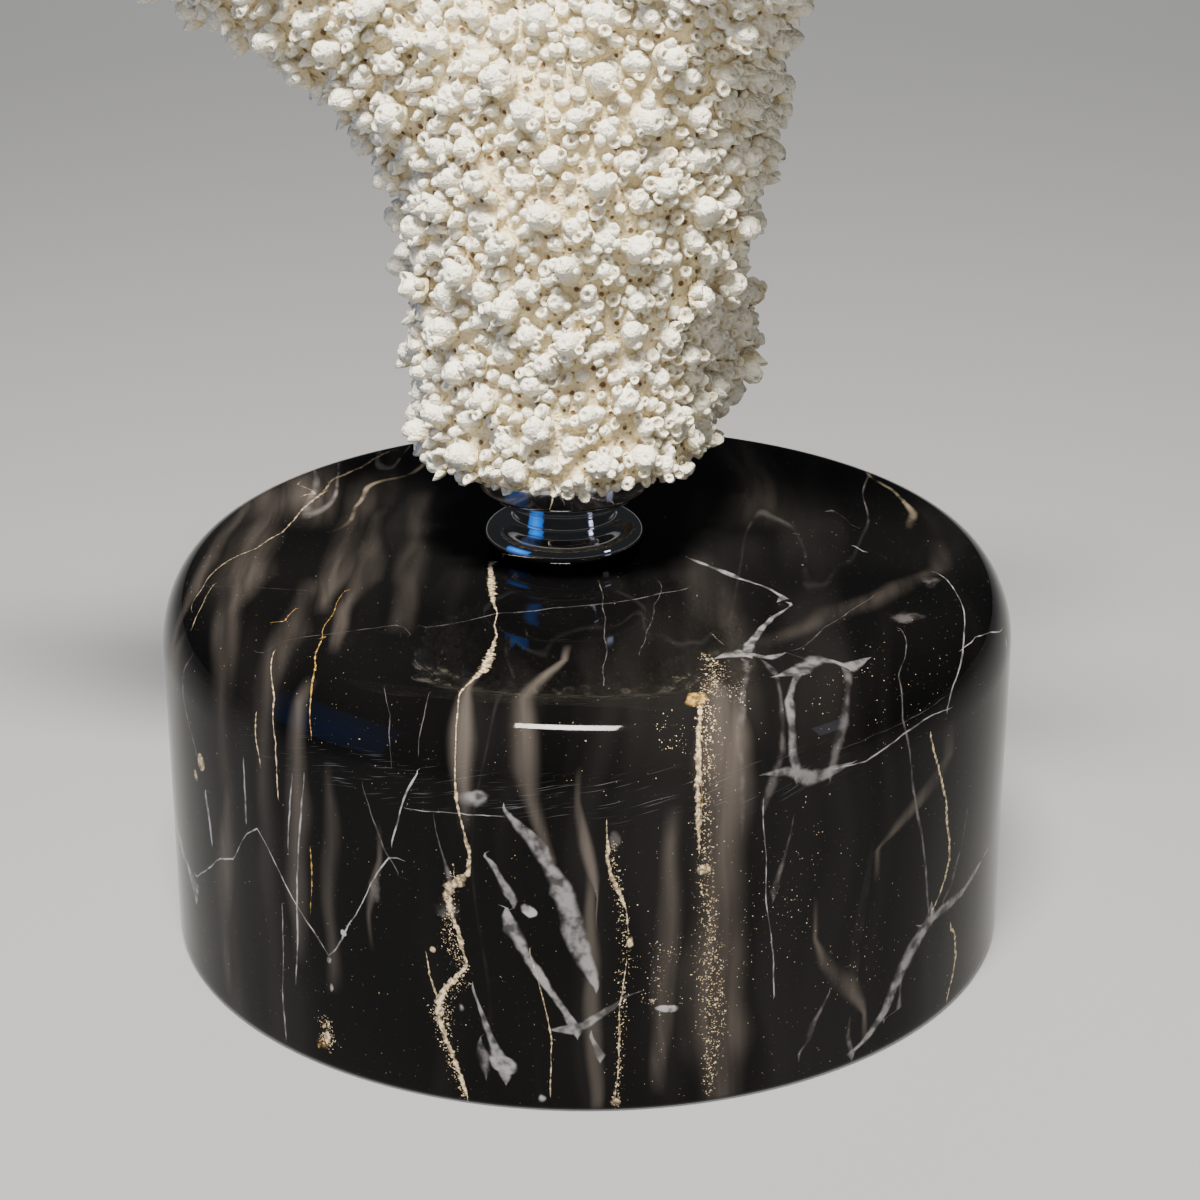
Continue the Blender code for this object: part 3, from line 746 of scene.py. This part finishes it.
class Marble(Nodes):
    """The black marble's nodes. Each method lays one thing over a colour, on the base's chart."""

    def __init__(self, tree, puck):
        super().__init__(tree)
        self.base_chart = BaseChart(puck)
        self.place = self.object_place()
        chart = marble_chart_group()
        self.bent = self.warped(self.warped(self.place, 150, 0.8 * MM, 1), 700, 0.16 * MM, 1)
        self.chart, self.straight = (
            self.add("Group", {"Place": place}, node_tree=chart).outputs
            for place in (self.bent, self.warped(self.place, 120, 1.2 * MM)))
        # Sheets lie upright, close to front to back, and streaks run down them
        self.sheets = self.stretched(self.warped(self.place, 45, 9 * MM), (1, 0.16, 0.1), (0, 0.07, 0.12))
        self.upright = self.stretched(self.warped(self.place, 60, 3 * MM), (1, 0.1, 0.05), (0, 0.05, 0.1))
        # The unevenness of edges: quick for dusty ones, slow or calm for clean ones
        self.fray = self.step(self.noise(self.place, 1500, 2), 0.3, 0.7)
        self.slow_fray = self.step(self.noise(self.bent, 260, 3), 0.3, 0.7)
        self.calm_fray = self.step(self.noise(self.place, 70, 1), 0.3, 0.7)
        self.grain = self.step(self.noise(self.place, 2200, 1), 0.38, 0.6, 0.25, 1.0)
        depth = self.add("SeparateXYZ", {0: self.place}).outputs["Y"]
        self.behind = self.step(depth, *BEHIND)

    def warped(self, place, scale, amount, detail=0):
        sway = self.vector_math("SUBTRACT", self.noise(place, scale, detail, "Color"), (0.5, 0.5, 0.5))[0]
        return self.vector_math("MULTIPLY_ADD", sway, (amount,) * 3, place)[0]

    def layer(self, name, softness, frayed, edges, routes, patches=(), chart=None, fading=False):
        """A colour's mask: how soft its edges are, how much they fray, and what they fray by."""
        group = marble_layer(name, self.base_chart, softness, frayed, routes, patches, fading)
        sockets = {label: (chart or self.chart)[label] for label in CHART}
        return self.add("Group", {**sockets, "Fray": edges, "Slow Fray": self.slow_fray},
                        node_tree=group).outputs["Mask"]

    def clouds(self):
        """Black with a few grey clouds."""
        colour = self.mix(self.noise(self.place, 60, 0), *MARBLE_BLACK)
        clouds = self.step(self.noise(self.sheets, 125, 2), 0.45, 0.72, 0, 0.28)
        return self.mix(clouds, colour, MARBLE_CLOUD)

    def smoke(self, colour):
        """Brown smoke hangs in bands of fine upright streaks."""
        streaks = self.step(self.noise(self.upright, 520, 2), 0.28, 0.7, 0.35, 1.0)
        wisps = self.step(self.noise(self.upright, 170, 2), 0.3, 0.66, 0.4, 1.0)
        bands, sheets = (
            self.layer(name, 1.0, 0.2, self.calm_fray, routes, chart=self.straight, fading=True)
            for name, routes in (("brown_bands", BROWN_BANDS), ("smoke_sheets", SMOKE_SHEETS)))
        back_bands = self.step(self.noise(self.upright, 75, 1), 0.5, 0.68, 0, 0.55)
        bands = self.larger(bands, self.times(back_bands, self.behind))
        # The sheets show on the top, and fade down the wall
        sheets = self.times(sheets, self.step(self.straight["Way Up"], 0.12, 0.42, 0.08, 0.42))
        bands = self.larger(bands, sheets)
        return self.mix(self.times(self.times(bands, streaks), wisps), colour, MARBLE_SMOKE)

    def back_pattern(self, colour):
        """Hairlines run everywhere, faint in front, and wider veins cross the back."""
        ridges = self.size_of(self.minus(self.noise(self.sheets, 38, 3), 0.5))
        hairs = self.times(self.step(ridges, 0.0, 0.006, 1, 0), self.slow_fray)
        colour = self.mix(self.times(hairs, self.times_plus(self.behind, 0.8, 0.04)), colour, MARBLE_HAIR)
        ridges = self.size_of(self.minus(self.noise(self.bent, 17, 2), 0.47))
        veins = self.times(self.step(ridges, 0.0005, 0.005, 1, 0), self.slow_fray)
        return self.mix(self.times(veins, self.behind), colour, MARBLE_BACK_VEIN)

    def veins(self, colour):
        cloudy = self.step(self.noise(self.place, 650, 2), 0.34, 0.64, 0.18, 0.95)
        for name, softness, frayed, edges, routes, patches, mottling, tint in (
                ("grey_veins", 1.0, 0.3, self.slow_fray, GREY_VEINS, GREY_BLOTCHES, cloudy, VEIN_GREY),
                ("pale_veins", 0.6, 0.25, self.slow_fray, PALE_VEINS, PALE_BLOTCHES, cloudy, VEIN_PALE),
                ("cream_veins", 0.7, 0.38, self.fray, CREAM_VEINS, CREAM_BLOTCHES, self.grain, VEIN_CREAM),
                ("gold_veins", 0.8, 0.5, self.fray, GOLD_VEINS, GOLD_BLOTCHES, self.grain, VEIN_GOLD)):
            mask = self.layer(name, softness, frayed, edges, routes, patches)
            colour = self.mix(self.times(mask, mottling), colour, tint)
        return colour

    def dust(self, colour):
        """Gold powder and pale specks, thick in the trails and sparse elsewhere."""
        trails = self.layer("dust_zones", 1.0, 0.4, self.fray, DUST_TRAILS, DUST)
        sparse = self.times(self.slow_fray, 0.12)
        powder = self.times_plus(trails, 0.24, self.noise(self.place, 4300, 1))
        colour = self.mix(self.step(powder, 0.75, 0.86, 0, 0.75), colour, self.mix(self.grain, *POWDER))
        for scale, size, crowding, zone in ((4600, 0.3, 0.6, trails), (550, 0.05, 1.0, sparse)):
            cells = self.cells(self.place, scale)
            chance, tone, strength = self.add("SeparateColor", {0: cells["Color"]}).outputs
            here = self.math("GREATER_THAN", self.times_plus(zone, crowding, chance), 1.0)
            speck = self.times(self.step(cells["Distance"], size * 0.6, size, 1, 0), here)
            speck = self.times(speck, self.step(strength, 0, 1, 0.25, 1.0))
            colour = self.mix(speck, colour, self.mix(tone, *SPECKS))
        return colour

    def scratches(self):
        """The mask of the polishing scratches at the shoulder's foot."""
        turn, way_up = self.straight["Turn"], self.straight["Way Up"]
        across = self.times_plus(turn, -SCRATCH_SLANT * SCRATCHES_ACROSS,
                                 self.times(way_up, SCRATCHES_ACROSS))
        strokes = self.add("CombineXYZ", {0: self.times(turn, SCRATCHES_ALONG), 1: across}).outputs[0]
        zone = self.times(self.between(way_up, *SCRATCH_RISE), self.between(turn, *SCRATCH_TURN))
        return self.times(self.step(self.noise(strokes, 1, 1), 0.64, 0.76), zone)


def marble_material(puck):
    """Polished black marble: brown smoke, grey, cream and gold veins, specks and fine scratches, which are
    lightened partly by a painted glint.
    """
    material, tree, shader = new_material("black_marble")
    marble = Marble(tree, puck)
    colour = marble.clouds()
    for laid_on in (marble.smoke, marble.back_pattern, marble.veins, marble.dust):
        colour = laid_on(colour)
    scratches = marble.scratches()
    # The scratches are lightened in colour, partly as pale scratched stone and partly as a painted glint
    colour = marble.mix(marble.times(scratches, 0.26), colour, MARBLE_SCRATCH_AND_GLINT)
    polish = marble.step(marble.noise(marble.place, 300, 1), 0.3, 0.7, 0.02, 0.055)
    marble.finish(shader, colour, marble.times_plus(scratches, 0.2, polish),
                  marble.relief(marble.noise(marble.place, 55, 0), 0.05 * MM, 0.25))
    shader.inputs["Specular IOR Level"].default_value = MARBLE_GLOSS
    return material


# Turned pieces


def turned_mesh(name, profile, sides, centre):
    """A smooth turned body: the profile's (radius, height) points run from the top pole to the bottom."""
    shape = bmesh.new()
    rings = []
    for radius, height in profile:
        if radius == 0:
            rings.append([shape.verts.new((centre.x, centre.y, height))])
            continue
        turn = [2 * math.pi * i / sides for i in range(sides)]
        rings.append([shape.verts.new((centre.x + radius * math.cos(a), centre.y + radius * math.sin(a),
                                       height)) for a in turn])
    for upper, lower in zip(rings, rings[1:]):
        for i in range(sides):
            j = (i + 1) % sides
            corners = [ring[k % len(ring)] for ring, k in ((upper, i), (lower, i), (lower, j), (upper, j))]
            shape.faces.new(list(dict.fromkeys(corners)))
    mesh = bpy.data.meshes.new(name)
    shape.to_mesh(mesh)
    shape.free()
    mesh.shade_smooth()
    return mesh


def arc(centre_r, centre_z, radius_r, radius_z, start, end, steps):
    """Profile points along an elliptical arc, in degrees from the outward horizontal."""
    points = []
    for step in range(steps + 1):
        turn = math.radians(start + (end - start) * step / steps)
        points.append((centre_r + radius_r * math.cos(turn), centre_z + radius_z * math.sin(turn)))
    return points


def make_base():
    low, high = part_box("marble_base")
    radius, height = (high.x - low.x) / 2, high.z
    # Rings beside the round stretches keep the flat ones evenly shaded
    profile = [(0, height), (radius * 0.4, height), (radius - BASE_SHOULDER - 4 * MM, height)]
    profile += arc(radius - BASE_SHOULDER, BASE_WALL, BASE_SHOULDER, height - BASE_WALL, 90, 0, 24)
    profile += [(radius, BASE_WALL * 0.7), (radius, BASE_WALL * 0.35), (radius, BASE_FOOT * 2)]
    profile += arc(radius - BASE_FOOT, BASE_FOOT, BASE_FOOT, BASE_FOOT, 0, -90, 6)
    profile += [(radius * 0.6, 0), (0, 0)]
    mesh = turned_mesh("marble_puck", profile, BASE_SIDES, Vector((0, 0)))
    puck = new_object("marble_puck", mesh)
    mesh.materials.append(marble_material(puck))
    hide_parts("marble_base")
    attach(puck, "root")


def make_neck():
    low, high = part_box("neck")
    centre = (low + high) / 2
    foot, rim = low.z, high.z
    profile = [(3.2, NECK_DRAWN), (9.3, NECK_DRAWN)]
    profile += arc(9.35, 10.9, 0.5, 0.5, 90, 0, 5)
    profile += arc(9.35, 7.9, 0.5, 0.5, 0, -55, 5)
    # The cup's side sweeps in to the waist, and the foot is a full round ring
    profile += [(9.1, 7.1), (8.5, 6.65), (7.8, 6.2), (7.1, 5.65), (6.5, 5.05), (6.1, 4.5), (5.95, 4.1)]
    profile += [(5.95, 3.85), (6.1, 3.6), (6.5, 3.4)]
    profile += arc(7.05, 1.6, 2.35, 1.72, 97, -30, 20)
    profile += [(8.95, 0.35), (8.8, 0), (3.2, 0)]
    profile = [(r * MM, foot + z * (rim - foot) / NECK_DRAWN) for r, z in profile]
    profile = [(0, profile[0][1])] + profile + [(0, profile[-1][1])]
    mesh = turned_mesh("chrome_neck", profile, NECK_SIDES, centre)
    mesh.set_sharp_from_angle(angle=math.radians(50))
    mesh.materials.append(chrome_material())
    neck = new_object("chrome_neck", mesh)
    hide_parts("neck")
    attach(neck, "root")


# Coral skin


def coral_skin():
    """One smooth skin over all the coral's solids, with small lumps."""
    shape = bmesh.new()
    for name in CORAL_NODES:
        shape.from_mesh(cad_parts[name].data)
    mesh = bpy.data.meshes.new("skin")
    shape.to_mesh(mesh)
    shape.free()
    skin = new_object("skin", mesh)
    remesh = skin.modifiers.new("fuse", "REMESH")
    remesh.voxel_size = SKIN_MESH
    smooth = skin.modifiers.new("smooth", "SMOOTH")
    smooth.factor = 0.5
    smooth.iterations = SKIN_SMOOTHING
    mesh = evaluated_mesh(skin)
    places, normals = vectors(mesh, "co"), vectors(mesh, "normal")
    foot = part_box("coral_stem")[0].z
    lumps = np.array([noise.noise(Vector(p) * SKIN_LUMP_SCALE) for p in places]) * SKIN_LUMP
    lumps[places[:, 2] < foot + SKIN_MESH] = 0
    lumps -= SKIN_INSET * np.clip((places[:, 2] - foot) / INSET_RISE, 0, 1)
    places += normals * lumps[:, None]
    places[:, 2] = np.maximum(places[:, 2], foot)
    mesh.vertices.foreach_set("co", places.ravel())
    mesh.update()
    return mesh


def nearest_name(place, fork):
    return min(fork, key=lambda name: (Vector(fork[name]) * MM - place).length)


def piece_at(place):
    """The name of the coral piece that holds this place."""
    name = nearest_name(place, MAIN_FORK)
    return nearest_name(place, LEFT_FORK) if name in LEFT_FORK else name


def cut_flat(shape, place, outward, caps):
    """Removes what lies on the outward side of a plane. The faces that close the cut are its caps."""
    geometry = shape.verts[:] + shape.edges[:] + shape.faces[:]
    cut = bmesh.ops.bisect_plane(shape, geom=geometry, plane_co=place, plane_no=outward, clear_outer=True)
    rim = [edge for edge in cut["geom_cut"] if isinstance(edge, bmesh.types.BMEdge)]
    rim = [edge for edge in rim if len(edge.link_faces) == 1]
    if rim:
        filled = bmesh.ops.triangle_fill(shape, edges=rim, use_beauty=True, normal=outward)
        for face in filled["geom"]:
            if isinstance(face, bmesh.types.BMFace):
                face[caps] = 1


def skin_piece(skin, name):
    """The closed part of the skin that belongs to one piece: its places, triangles, ring values
    and sharp edges."""
    shape = bmesh.new()
    shape.from_mesh(skin)
    in_left = name in LEFT_FORK
    rounds = [("coral_left_branch" if in_left else name, MAIN_FORK)]
    if in_left:
        rounds.append((name, LEFT_FORK))
    caps = shape.faces.layers.int.new("cap")
    for own_name, fork in rounds:
        own = Vector(fork[own_name]) * MM
        for other_name, point in fork.items():
            if other_name != own_name:
                other = Vector(point) * MM
                cut_flat(shape, (own + other) / 2, (other - own).normalized(), caps)
    bmesh.ops.triangulate(shape, faces=[face for face in shape.faces if len(face.verts) > 3])
    shape.verts.index_update()
    sharp = {tuple(sorted(vert.index for vert in edge.verts)) for edge in shape.edges
             if len({face[caps] for face in edge.link_faces}) > 1}
    places = np.array([vert.co for vert in shape.verts])
    faces = np.array([[vert.index for vert in face.verts] for face in shape.faces])
    shape.free()
    return places, faces, np.zeros((len(places), 2)), sharp


# Cups


def solid_corners():
    """The corners of the coral's solids. Those that meet at one place count once."""
    corners = {}
    for name in CORAL_NODES:
        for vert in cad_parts[name].data.vertices:
            corners[tuple(round(c / (0.05 * MM)) for c in vert.co)] = Vector(vert.co)
    return list(corners.values())


def lathe_cups(kind, cups, chance):
    """Vertices, faces and ring values of many cups at once. Each cup is its foot, axis, lip side,
    radius, length, the lip's rise, its flatness and how wide its mouth is."""
    sides, rings = CUP_KINDS[kind]
    rows = np.array(rings, float)
    feet, axes, lips, radii, lengths, rises, flats, mouths = (
        np.array(values, float) for values in zip(*cups))
    count = len(cups)
    turn = (np.arange(sides) + 0.5) * 2 * math.pi / sides
    side = unit(lips - axes * (lips * axes).sum(1, keepdims=True))
    other = np.cross(axes, side)
    uneven = 1 + chance.uniform(-CUP_UNEVENNESS, CUP_UNEVENNESS, (count, sides))
    around = (np.cos(turn)[None, :, None] * side[:, None, :] * flats[:, None, None]
              + np.sin(turn)[None, :, None] * other[:, None, :]) * uneven[:, :, None]
    height = rows[None, :, 1] * lengths[:, None] + rows[None, :, 2] * radii[:, None]
    share = np.clip(height / lengths[:, None], 0, 1) ** 2
    ring_places, kinds = [], []
    for k, row in enumerate(rows):
        centre = feet + axes * height[:, k:k + 1]
        if row[0] == 0:
            ring_places.append(centre[:, None, :])
        else:
            wide = radii * row[0] * (mouths if row[4] > 0 else 1)
            rise = rises[:, None] * share[:, k:k + 1] * np.cos(turn) * wide[:, None]
            ring_places.append(centre[:, None, :] + around * wide[:, None, None]
                               + axes[:, None, :] * rise[:, :, None])
        kinds += [(row[3], row[4])] * ring_places[-1].shape[1]
    places = np.concatenate(ring_places, axis=1)
    per_cup = places.shape[1]
    faces = [(0, 1 + (i + 1) % sides, 1 + i) for i in range(sides)]
    for k in range(len(rows) - 3):
        low, high = 1 + k * sides, 1 + (k + 1) * sides
        for i in range(sides):
            j = (i + 1) % sides
            faces += [(low + i, low + j, high + j), (low + i, high + j, high + i)]
    last = 1 + (len(rows) - 3) * sides
    faces += [(last + i, last + (i + 1) % sides, per_cup - 1) for i in range(sides)]
    faces = np.array(faces)[None] + (np.arange(count) * per_cup)[:, None, None]
    return places.reshape(-1, 3), faces.reshape(-1, 3), np.tile(np.array(kinds), (count, 1))


def swollen(places):
    """The places, each moved a little by a small smooth unevenness."""
    moved = np.zeros_like(places)
    chance = np.random.default_rng(SEED)
    for waves in SWELL_WAVES:
        for _ in range(3):
            way = unit(chance.normal(size=(1, 3)))[0] * waves
            drift = unit(chance.normal(size=(1, 3)))[0]
            moved += np.sin(places @ way + chance.uniform(0, 6))[:, None] * drift
    return places + moved * SWELL / len(SWELL_WAVES)


class Spacing:
    """Keeps places apart: remembers taken places in a grid, each with its own reach."""

    def __init__(self, cell):
        self.cell = cell
        self.taken = {}

    def key(self, place):
        return tuple(int(math.floor(c / self.cell)) for c in place)

    def free(self, place, reach):
        kx, ky, kz = self.key(place)
        for i in (-1, 0, 1):
            for j in (-1, 0, 1):
                for k in (-1, 0, 1):
                    for x, y, z, other in self.taken.get((kx + i, ky + j, kz + k), ()):
                        gap = (reach + other) / 2
                        if (x - place[0]) ** 2 + (y - place[1]) ** 2 + (z - place[2]) ** 2 < gap * gap:
                            return False
        return True

    def take(self, place, reach):
        self.taken.setdefault(self.key(place), []).append((*place, reach))


def scattered(skin, count):
    """Even random places on the skin with their normals."""
    chance = np.random.default_rng(SEED)
    skin.calc_loop_triangles()
    corners = np.empty(len(skin.loop_triangles) * 3, int)
    skin.loop_triangles.foreach_get("vertices", corners)
    corners = corners.reshape(-1, 3)
    places, normals = vectors(skin, "co"), vectors(skin, "normal")
    a, b, c = (places[corners[:, i]] for i in range(3))
    areas = np.linalg.norm(np.cross(b - a, c - a), axis=1)
    chosen = chance.choice(len(corners), count, p=areas / areas.sum())
    u, v = chance.random(count), chance.random(count)
    over = u + v > 1
    u[over], v[over] = 1 - u[over], 1 - v[over]
    weights = np.stack([1 - u - v, u, v], 1)[:, :, None]
    spots = (places[corners[chosen]] * weights).sum(1)
    facing = unit((normals[corners[chosen]] * weights).sum(1))
    return spots, facing


def growth_at(place):
    """The way the coral grows near a place, blended between its pieces."""
    way = Vector()
    for fork in (MAIN_FORK, LEFT_FORK):
        for name, point in fork.items():
            away = (Vector(point) * MM - place).length / GROWTH_REACH
            way += Vector(GROWTH[name]) * math.exp(-away * away)
    if way.length < 1e-6:
        way = Vector(GROWTH[piece_at(place)])
    return way.normalized()


class CupPlan:
    """Where every branchlet, cup and pore stands, kept apart and inside the coral's box."""

    def __init__(self, skin):
        self.chance = random.Random(SEED)
        self.tree = BVHTree.FromPolygons([v.co for v in skin.vertices], [p.vertices for p in skin.polygons])
        self.spacing = Spacing(WIDEST_SPACING)
        self.kinds = {kind: [] for kind in CUP_KINDS}
        corners = [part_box(name) for name in CORAL_NODES]
        self.low = Vector([min(box[0][i] for box in corners) for i in range(3)])
        self.high = Vector([max(box[1][i] for box in corners) for i in range(3)])

    def lean(self, foot, normal, growth_share, jitter):
        """A cup's axis, between the skin's normal and the way the coral grows."""
        way = normal + growth_at(foot) * growth_share
        way += Vector([self.chance.uniform(-1, 1) for _ in range(3)]) * jitter
        way.normalize()
        return way if way.dot(normal) > 0.35 else (way + normal).normalized()

    def add(self, kind, foot, axis, lip, radius, length, rise, flat, mouth=1.0):
        """Plans one cup, shortened until its tip is inside the coral's box."""
        near_foot = (foot.z - self.low.z) / FOOT_ZONE
        if near_foot < 1 and axis.z < STEEPEST and kind != "pore":
            axis = Vector((axis.x, axis.y, STEEPEST)).normalized()
            length *= 0.55 + 0.45 * max(near_foot, 0)
        reach = radius * 0.8
        for _ in range(8):
            tip = foot + axis * length
            if all(low + reach < along < high - reach or abs(lean) < 0.2
                   for low, along, high, lean in zip(self.low, tip, self.high, axis)):
                break
            if kind != "branchlet" and tip.z < self.low.z + reach and length < 1.0 * MM:
                break
            length *= 0.8
        if lip.cross(axis).length < 0.1:
            lip = axis.orthogonal()
        self.kinds[kind].append((foot, axis, lip, radius, length, rise, flat, mouth))

    def add_small(self, foot, axis, lip, radius, length, bud_share):
        """A small cup: a closed bud, a round cup or a half cup with one high lip."""
        chance = self.chance
        if chance.random() < bud_share:
            form = "closed"
        else:
            form = "half" if chance.random() < HALF_CUPS else "round"
        kind, share, *ranges = SMALL_CUPS[form]
        self.add(kind, foot, axis, lip, radius * share, length, *(chance.uniform(*pair) for pair in ranges))

    def add_branchlet(self, foot, normal, radius, length):
        """A branchlet with smaller cups that cling to its side like petals."""
        chance = self.chance
        axis = self.lean(foot, normal, chance.uniform(*BRANCHLET_LEAN), 0.2)
        self.add("branchlet", foot, axis, normal - growth_at(foot), radius, length,
                 chance.uniform(-0.1, 0.45), chance.uniform(0.85, 1.0), chance.choice(BRANCHLET_MOUTHS))
        side = axis.orthogonal().normalized()
        start = chance.uniform(0, 2 * math.pi)
        number = chance.choice(PETALS)
        for index in range(number):
            turn = start + 2 * math.pi * (index + chance.uniform(-0.3, 0.3)) / number
            out = (side * math.cos(turn) + axis.cross(side) * math.sin(turn)).normalized()
            place = (foot + axis * length * chance.uniform(-0.1, 0.35)
                     + out * radius * chance.uniform(0.8, 1.05))
            way = (out * chance.uniform(0.1, 0.55) + axis * 0.8).normalized()
            self.add_small(place, way, out, chance.uniform(*PETAL_RADIUS) * MM,
                           chance.uniform(*PETAL_LENGTH) * MM, PETAL_BUDS)

    def knob_branchlets(self):
        """Sets a branchlet on each knob of the solids, the highest knobs first."""
        chance, feet = self.chance, []
        for tip in solid_corners():
            foot, normal, _, gap = self.tree.find_nearest(tip)
            if gap > KNOB_HEIGHT and (tip - foot).dot(normal) > 0 and tip.z > self.low.z + KNOB_HEIGHT:
                feet.append((gap, foot, normal))
        feet.sort(key=lambda row: -row[0])
        for gap, foot, normal in feet:
            if self.spacing.free(foot, KNOB_SPACING):
                self.spacing.take(foot, KNOB_SPACING)
                self.add_branchlet(foot, normal, chance.uniform(*KNOB_RADIUS) * MM,
                                   gap + chance.uniform(*KNOB_PAST) * MM)

    def fill(self, kind, places, normals, spacing):
        """Sets one kind of cup at each of the places that is still free."""
        chance = self.chance
        for place, facing in zip(places, normals):
            young = max(place[2] - YOUNG_HEIGHT, 0) / MM
            reach = spacing * chance.uniform(*SPACING_SWING) * (1 + young * YOUNG_OPENING)
            if not self.spacing.free(place, reach):
                continue
            foot, normal = Vector(place), Vector(facing)
            underside = normal.z < UNDERSIDE
            if underside and (kind == "branchlet" or (foot.xy - NECK_AXIS).length < NECK_REACH):
                continue
            self.spacing.take(place, reach)
            if kind == "branchlet":
                self.add_branchlet(foot, normal, chance.uniform(*BRANCHLET_RADIUS) * MM,
                                   chance.uniform(*BRANCHLET_LENGTH) * MM)
            elif kind == "cup":
                axis = self.lean(foot, normal, chance.uniform(*CUP_LEAN), 0.22)
                length = chance.uniform(*CUP_LENGTH) * MM * (0.5 if underside else 1)
                self.add_small(foot, axis, normal - growth_at(foot), chance.uniform(*CUP_RADIUS) * MM,
                               length, CUP_BUDS)
            else:
                self.add(kind, foot, normal, normal.orthogonal(), chance.uniform(*PORE_RADIUS) * MM,
                         PORE_LENGTH * MM, 0, chance.uniform(0.8, 1.0), chance.uniform(0.85, 1.1))


def plan_cups(skin):
    plan = CupPlan(skin)
    plan.knob_branchlets()
    places, normals = scattered(skin, SCATTERED)
    for kind, (spacing, tried) in FILLS.items():
        plan.fill(kind, places[:tried], normals[:tried], spacing)
    return plan.kinds


def coral_piece(label, name, parts, finish, sharp=()):
    """One mesh of the coral from (places, faces, ring values) parts, standing for its solid."""
    start, faces = 0, []
    for places, corners, _ in parts:
        faces.append(corners + start)
        start += len(places)
    mesh = bpy.data.meshes.new(label)
    places = np.concatenate([part[0] for part in parts])
    mesh.from_pydata(places.tolist(), [], np.concatenate(faces).tolist())
    values = np.concatenate([part[2] for part in parts])
    for index, field in enumerate(RING_VALUES):
        mesh.attributes.new(field, "FLOAT", "POINT").data.foreach_set("value", values[:, index])
    for edge in mesh.edges:
        if tuple(sorted(edge.vertices)) in sharp:
            edge.use_edge_sharp = True
    mesh.shade_smooth()
    mesh.materials.append(finish)
    piece = new_object(label, mesh)
    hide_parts(name)
    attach(piece, "root")


def make_coral():
    skin = coral_skin()
    kinds = plan_cups(skin)
    finish = coral_material()
    chance = np.random.default_rng(SEED)
    by_piece = {name: {kind: [] for kind in kinds} for name in CORAL_NODES}
    for kind, cups in kinds.items():
        for cup in cups:
            by_piece[piece_at(cup[0])][kind].append(cup)
    for name in CORAL_NODES:
        *own_skin, sharp = skin_piece(skin, name)
        grown = {kind: lathe_cups(kind, cups, chance) for kind, cups in by_piece[name].items() if cups}
        grown = {kind: (swollen(places), faces, values) for kind, (places, faces, values) in grown.items()}
        large = [own_skin] + [grown[kind] for kind in ("branchlet", "pore") if kind in grown]
        small = [grown[kind] for kind in ("cup", "bud") if kind in grown]
        coral_piece(name + "_growth", name, large, finish, sharp)
        coral_piece(name + "_cups", name, small, finish)


# Stage, light and camera


def make_floor():
    bpy.ops.mesh.primitive_plane_add(size=8)
    floor = bpy.context.object
    floor.name = "floor"
    material, _, shader = new_material("pale_floor")
    # An even glow keeps the floor pale beyond the lamps' reach
    for name, value in (("Base Color", FLOOR_GREY), ("Roughness", 0.9), ("Emission Color", (1, 1, 1, 1)),
                        ("Emission Strength", FLOOR_GLOW)):
        shader.inputs[name].default_value = value
    material.cycles.emission_sampling = "NONE"
    floor.data.materials.append(material)


def area_light(name, place, size, power, colour, spread, target, mirrored):
    light = bpy.data.lights.new(name, "AREA")
    light.shape = "RECTANGLE"
    light.size, light.size_y = size
    light.energy = power
    light.color = colour
    light.spread = math.radians(spread)
    lamp = new_object(name, light)
    lamp.location = place
    lamp.visible_glossy = mirrored
    lamp.rotation_euler = (Vector(target) - Vector(place)).to_track_quat("-Z", "Y").to_euler()


def make_light():
    world = bpy.data.worlds.new("studio")
    bpy.context.scene.world = world
    world.use_nodes = True
    nodes = Nodes(world.node_tree)
    shade = world.node_tree.nodes["Background"]
    nodes.put(SKY_BLUE, shade.inputs["Color"])
    nodes.put(SKY_STRENGTH, shade.inputs["Strength"])
    # The camera sees a pale backdrop beyond the floor
    backdrop = nodes.add("Background", {"Color": BACKDROP_GREY, "Strength": 1})
    seen = nodes.add("LightPath", {}).outputs["Is Camera Ray"]
    both = nodes.add("MixShader", {0: seen, 1: shade.outputs[0], 2: backdrop.outputs[0]})
    nodes.put(both.outputs[0], world.node_tree.nodes["World Output"].inputs["Surface"])
    for name, settings in LAMPS.items():
        area_light(name, *settings)


def make_camera():
    camera = bpy.data.cameras.new("camera")
    camera.lens = CAMERA_LENS
    camera.sensor_width = SENSOR_WIDTH
    camera.clip_start, camera.clip_end = 0.01, 20
    holder = new_object("camera", camera)
    holder.location = CAMERA_PLACE
    holder.rotation_euler = (math.radians(90) - CAMERA_DOWN, 0, 0)
    bpy.context.scene.camera = holder


make_base()
make_neck()
rod_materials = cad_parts["mounting_rod"].data.materials
rod_materials.clear()
rod_materials.append(steel_material())
make_coral()
make_floor()
make_light()
make_camera()
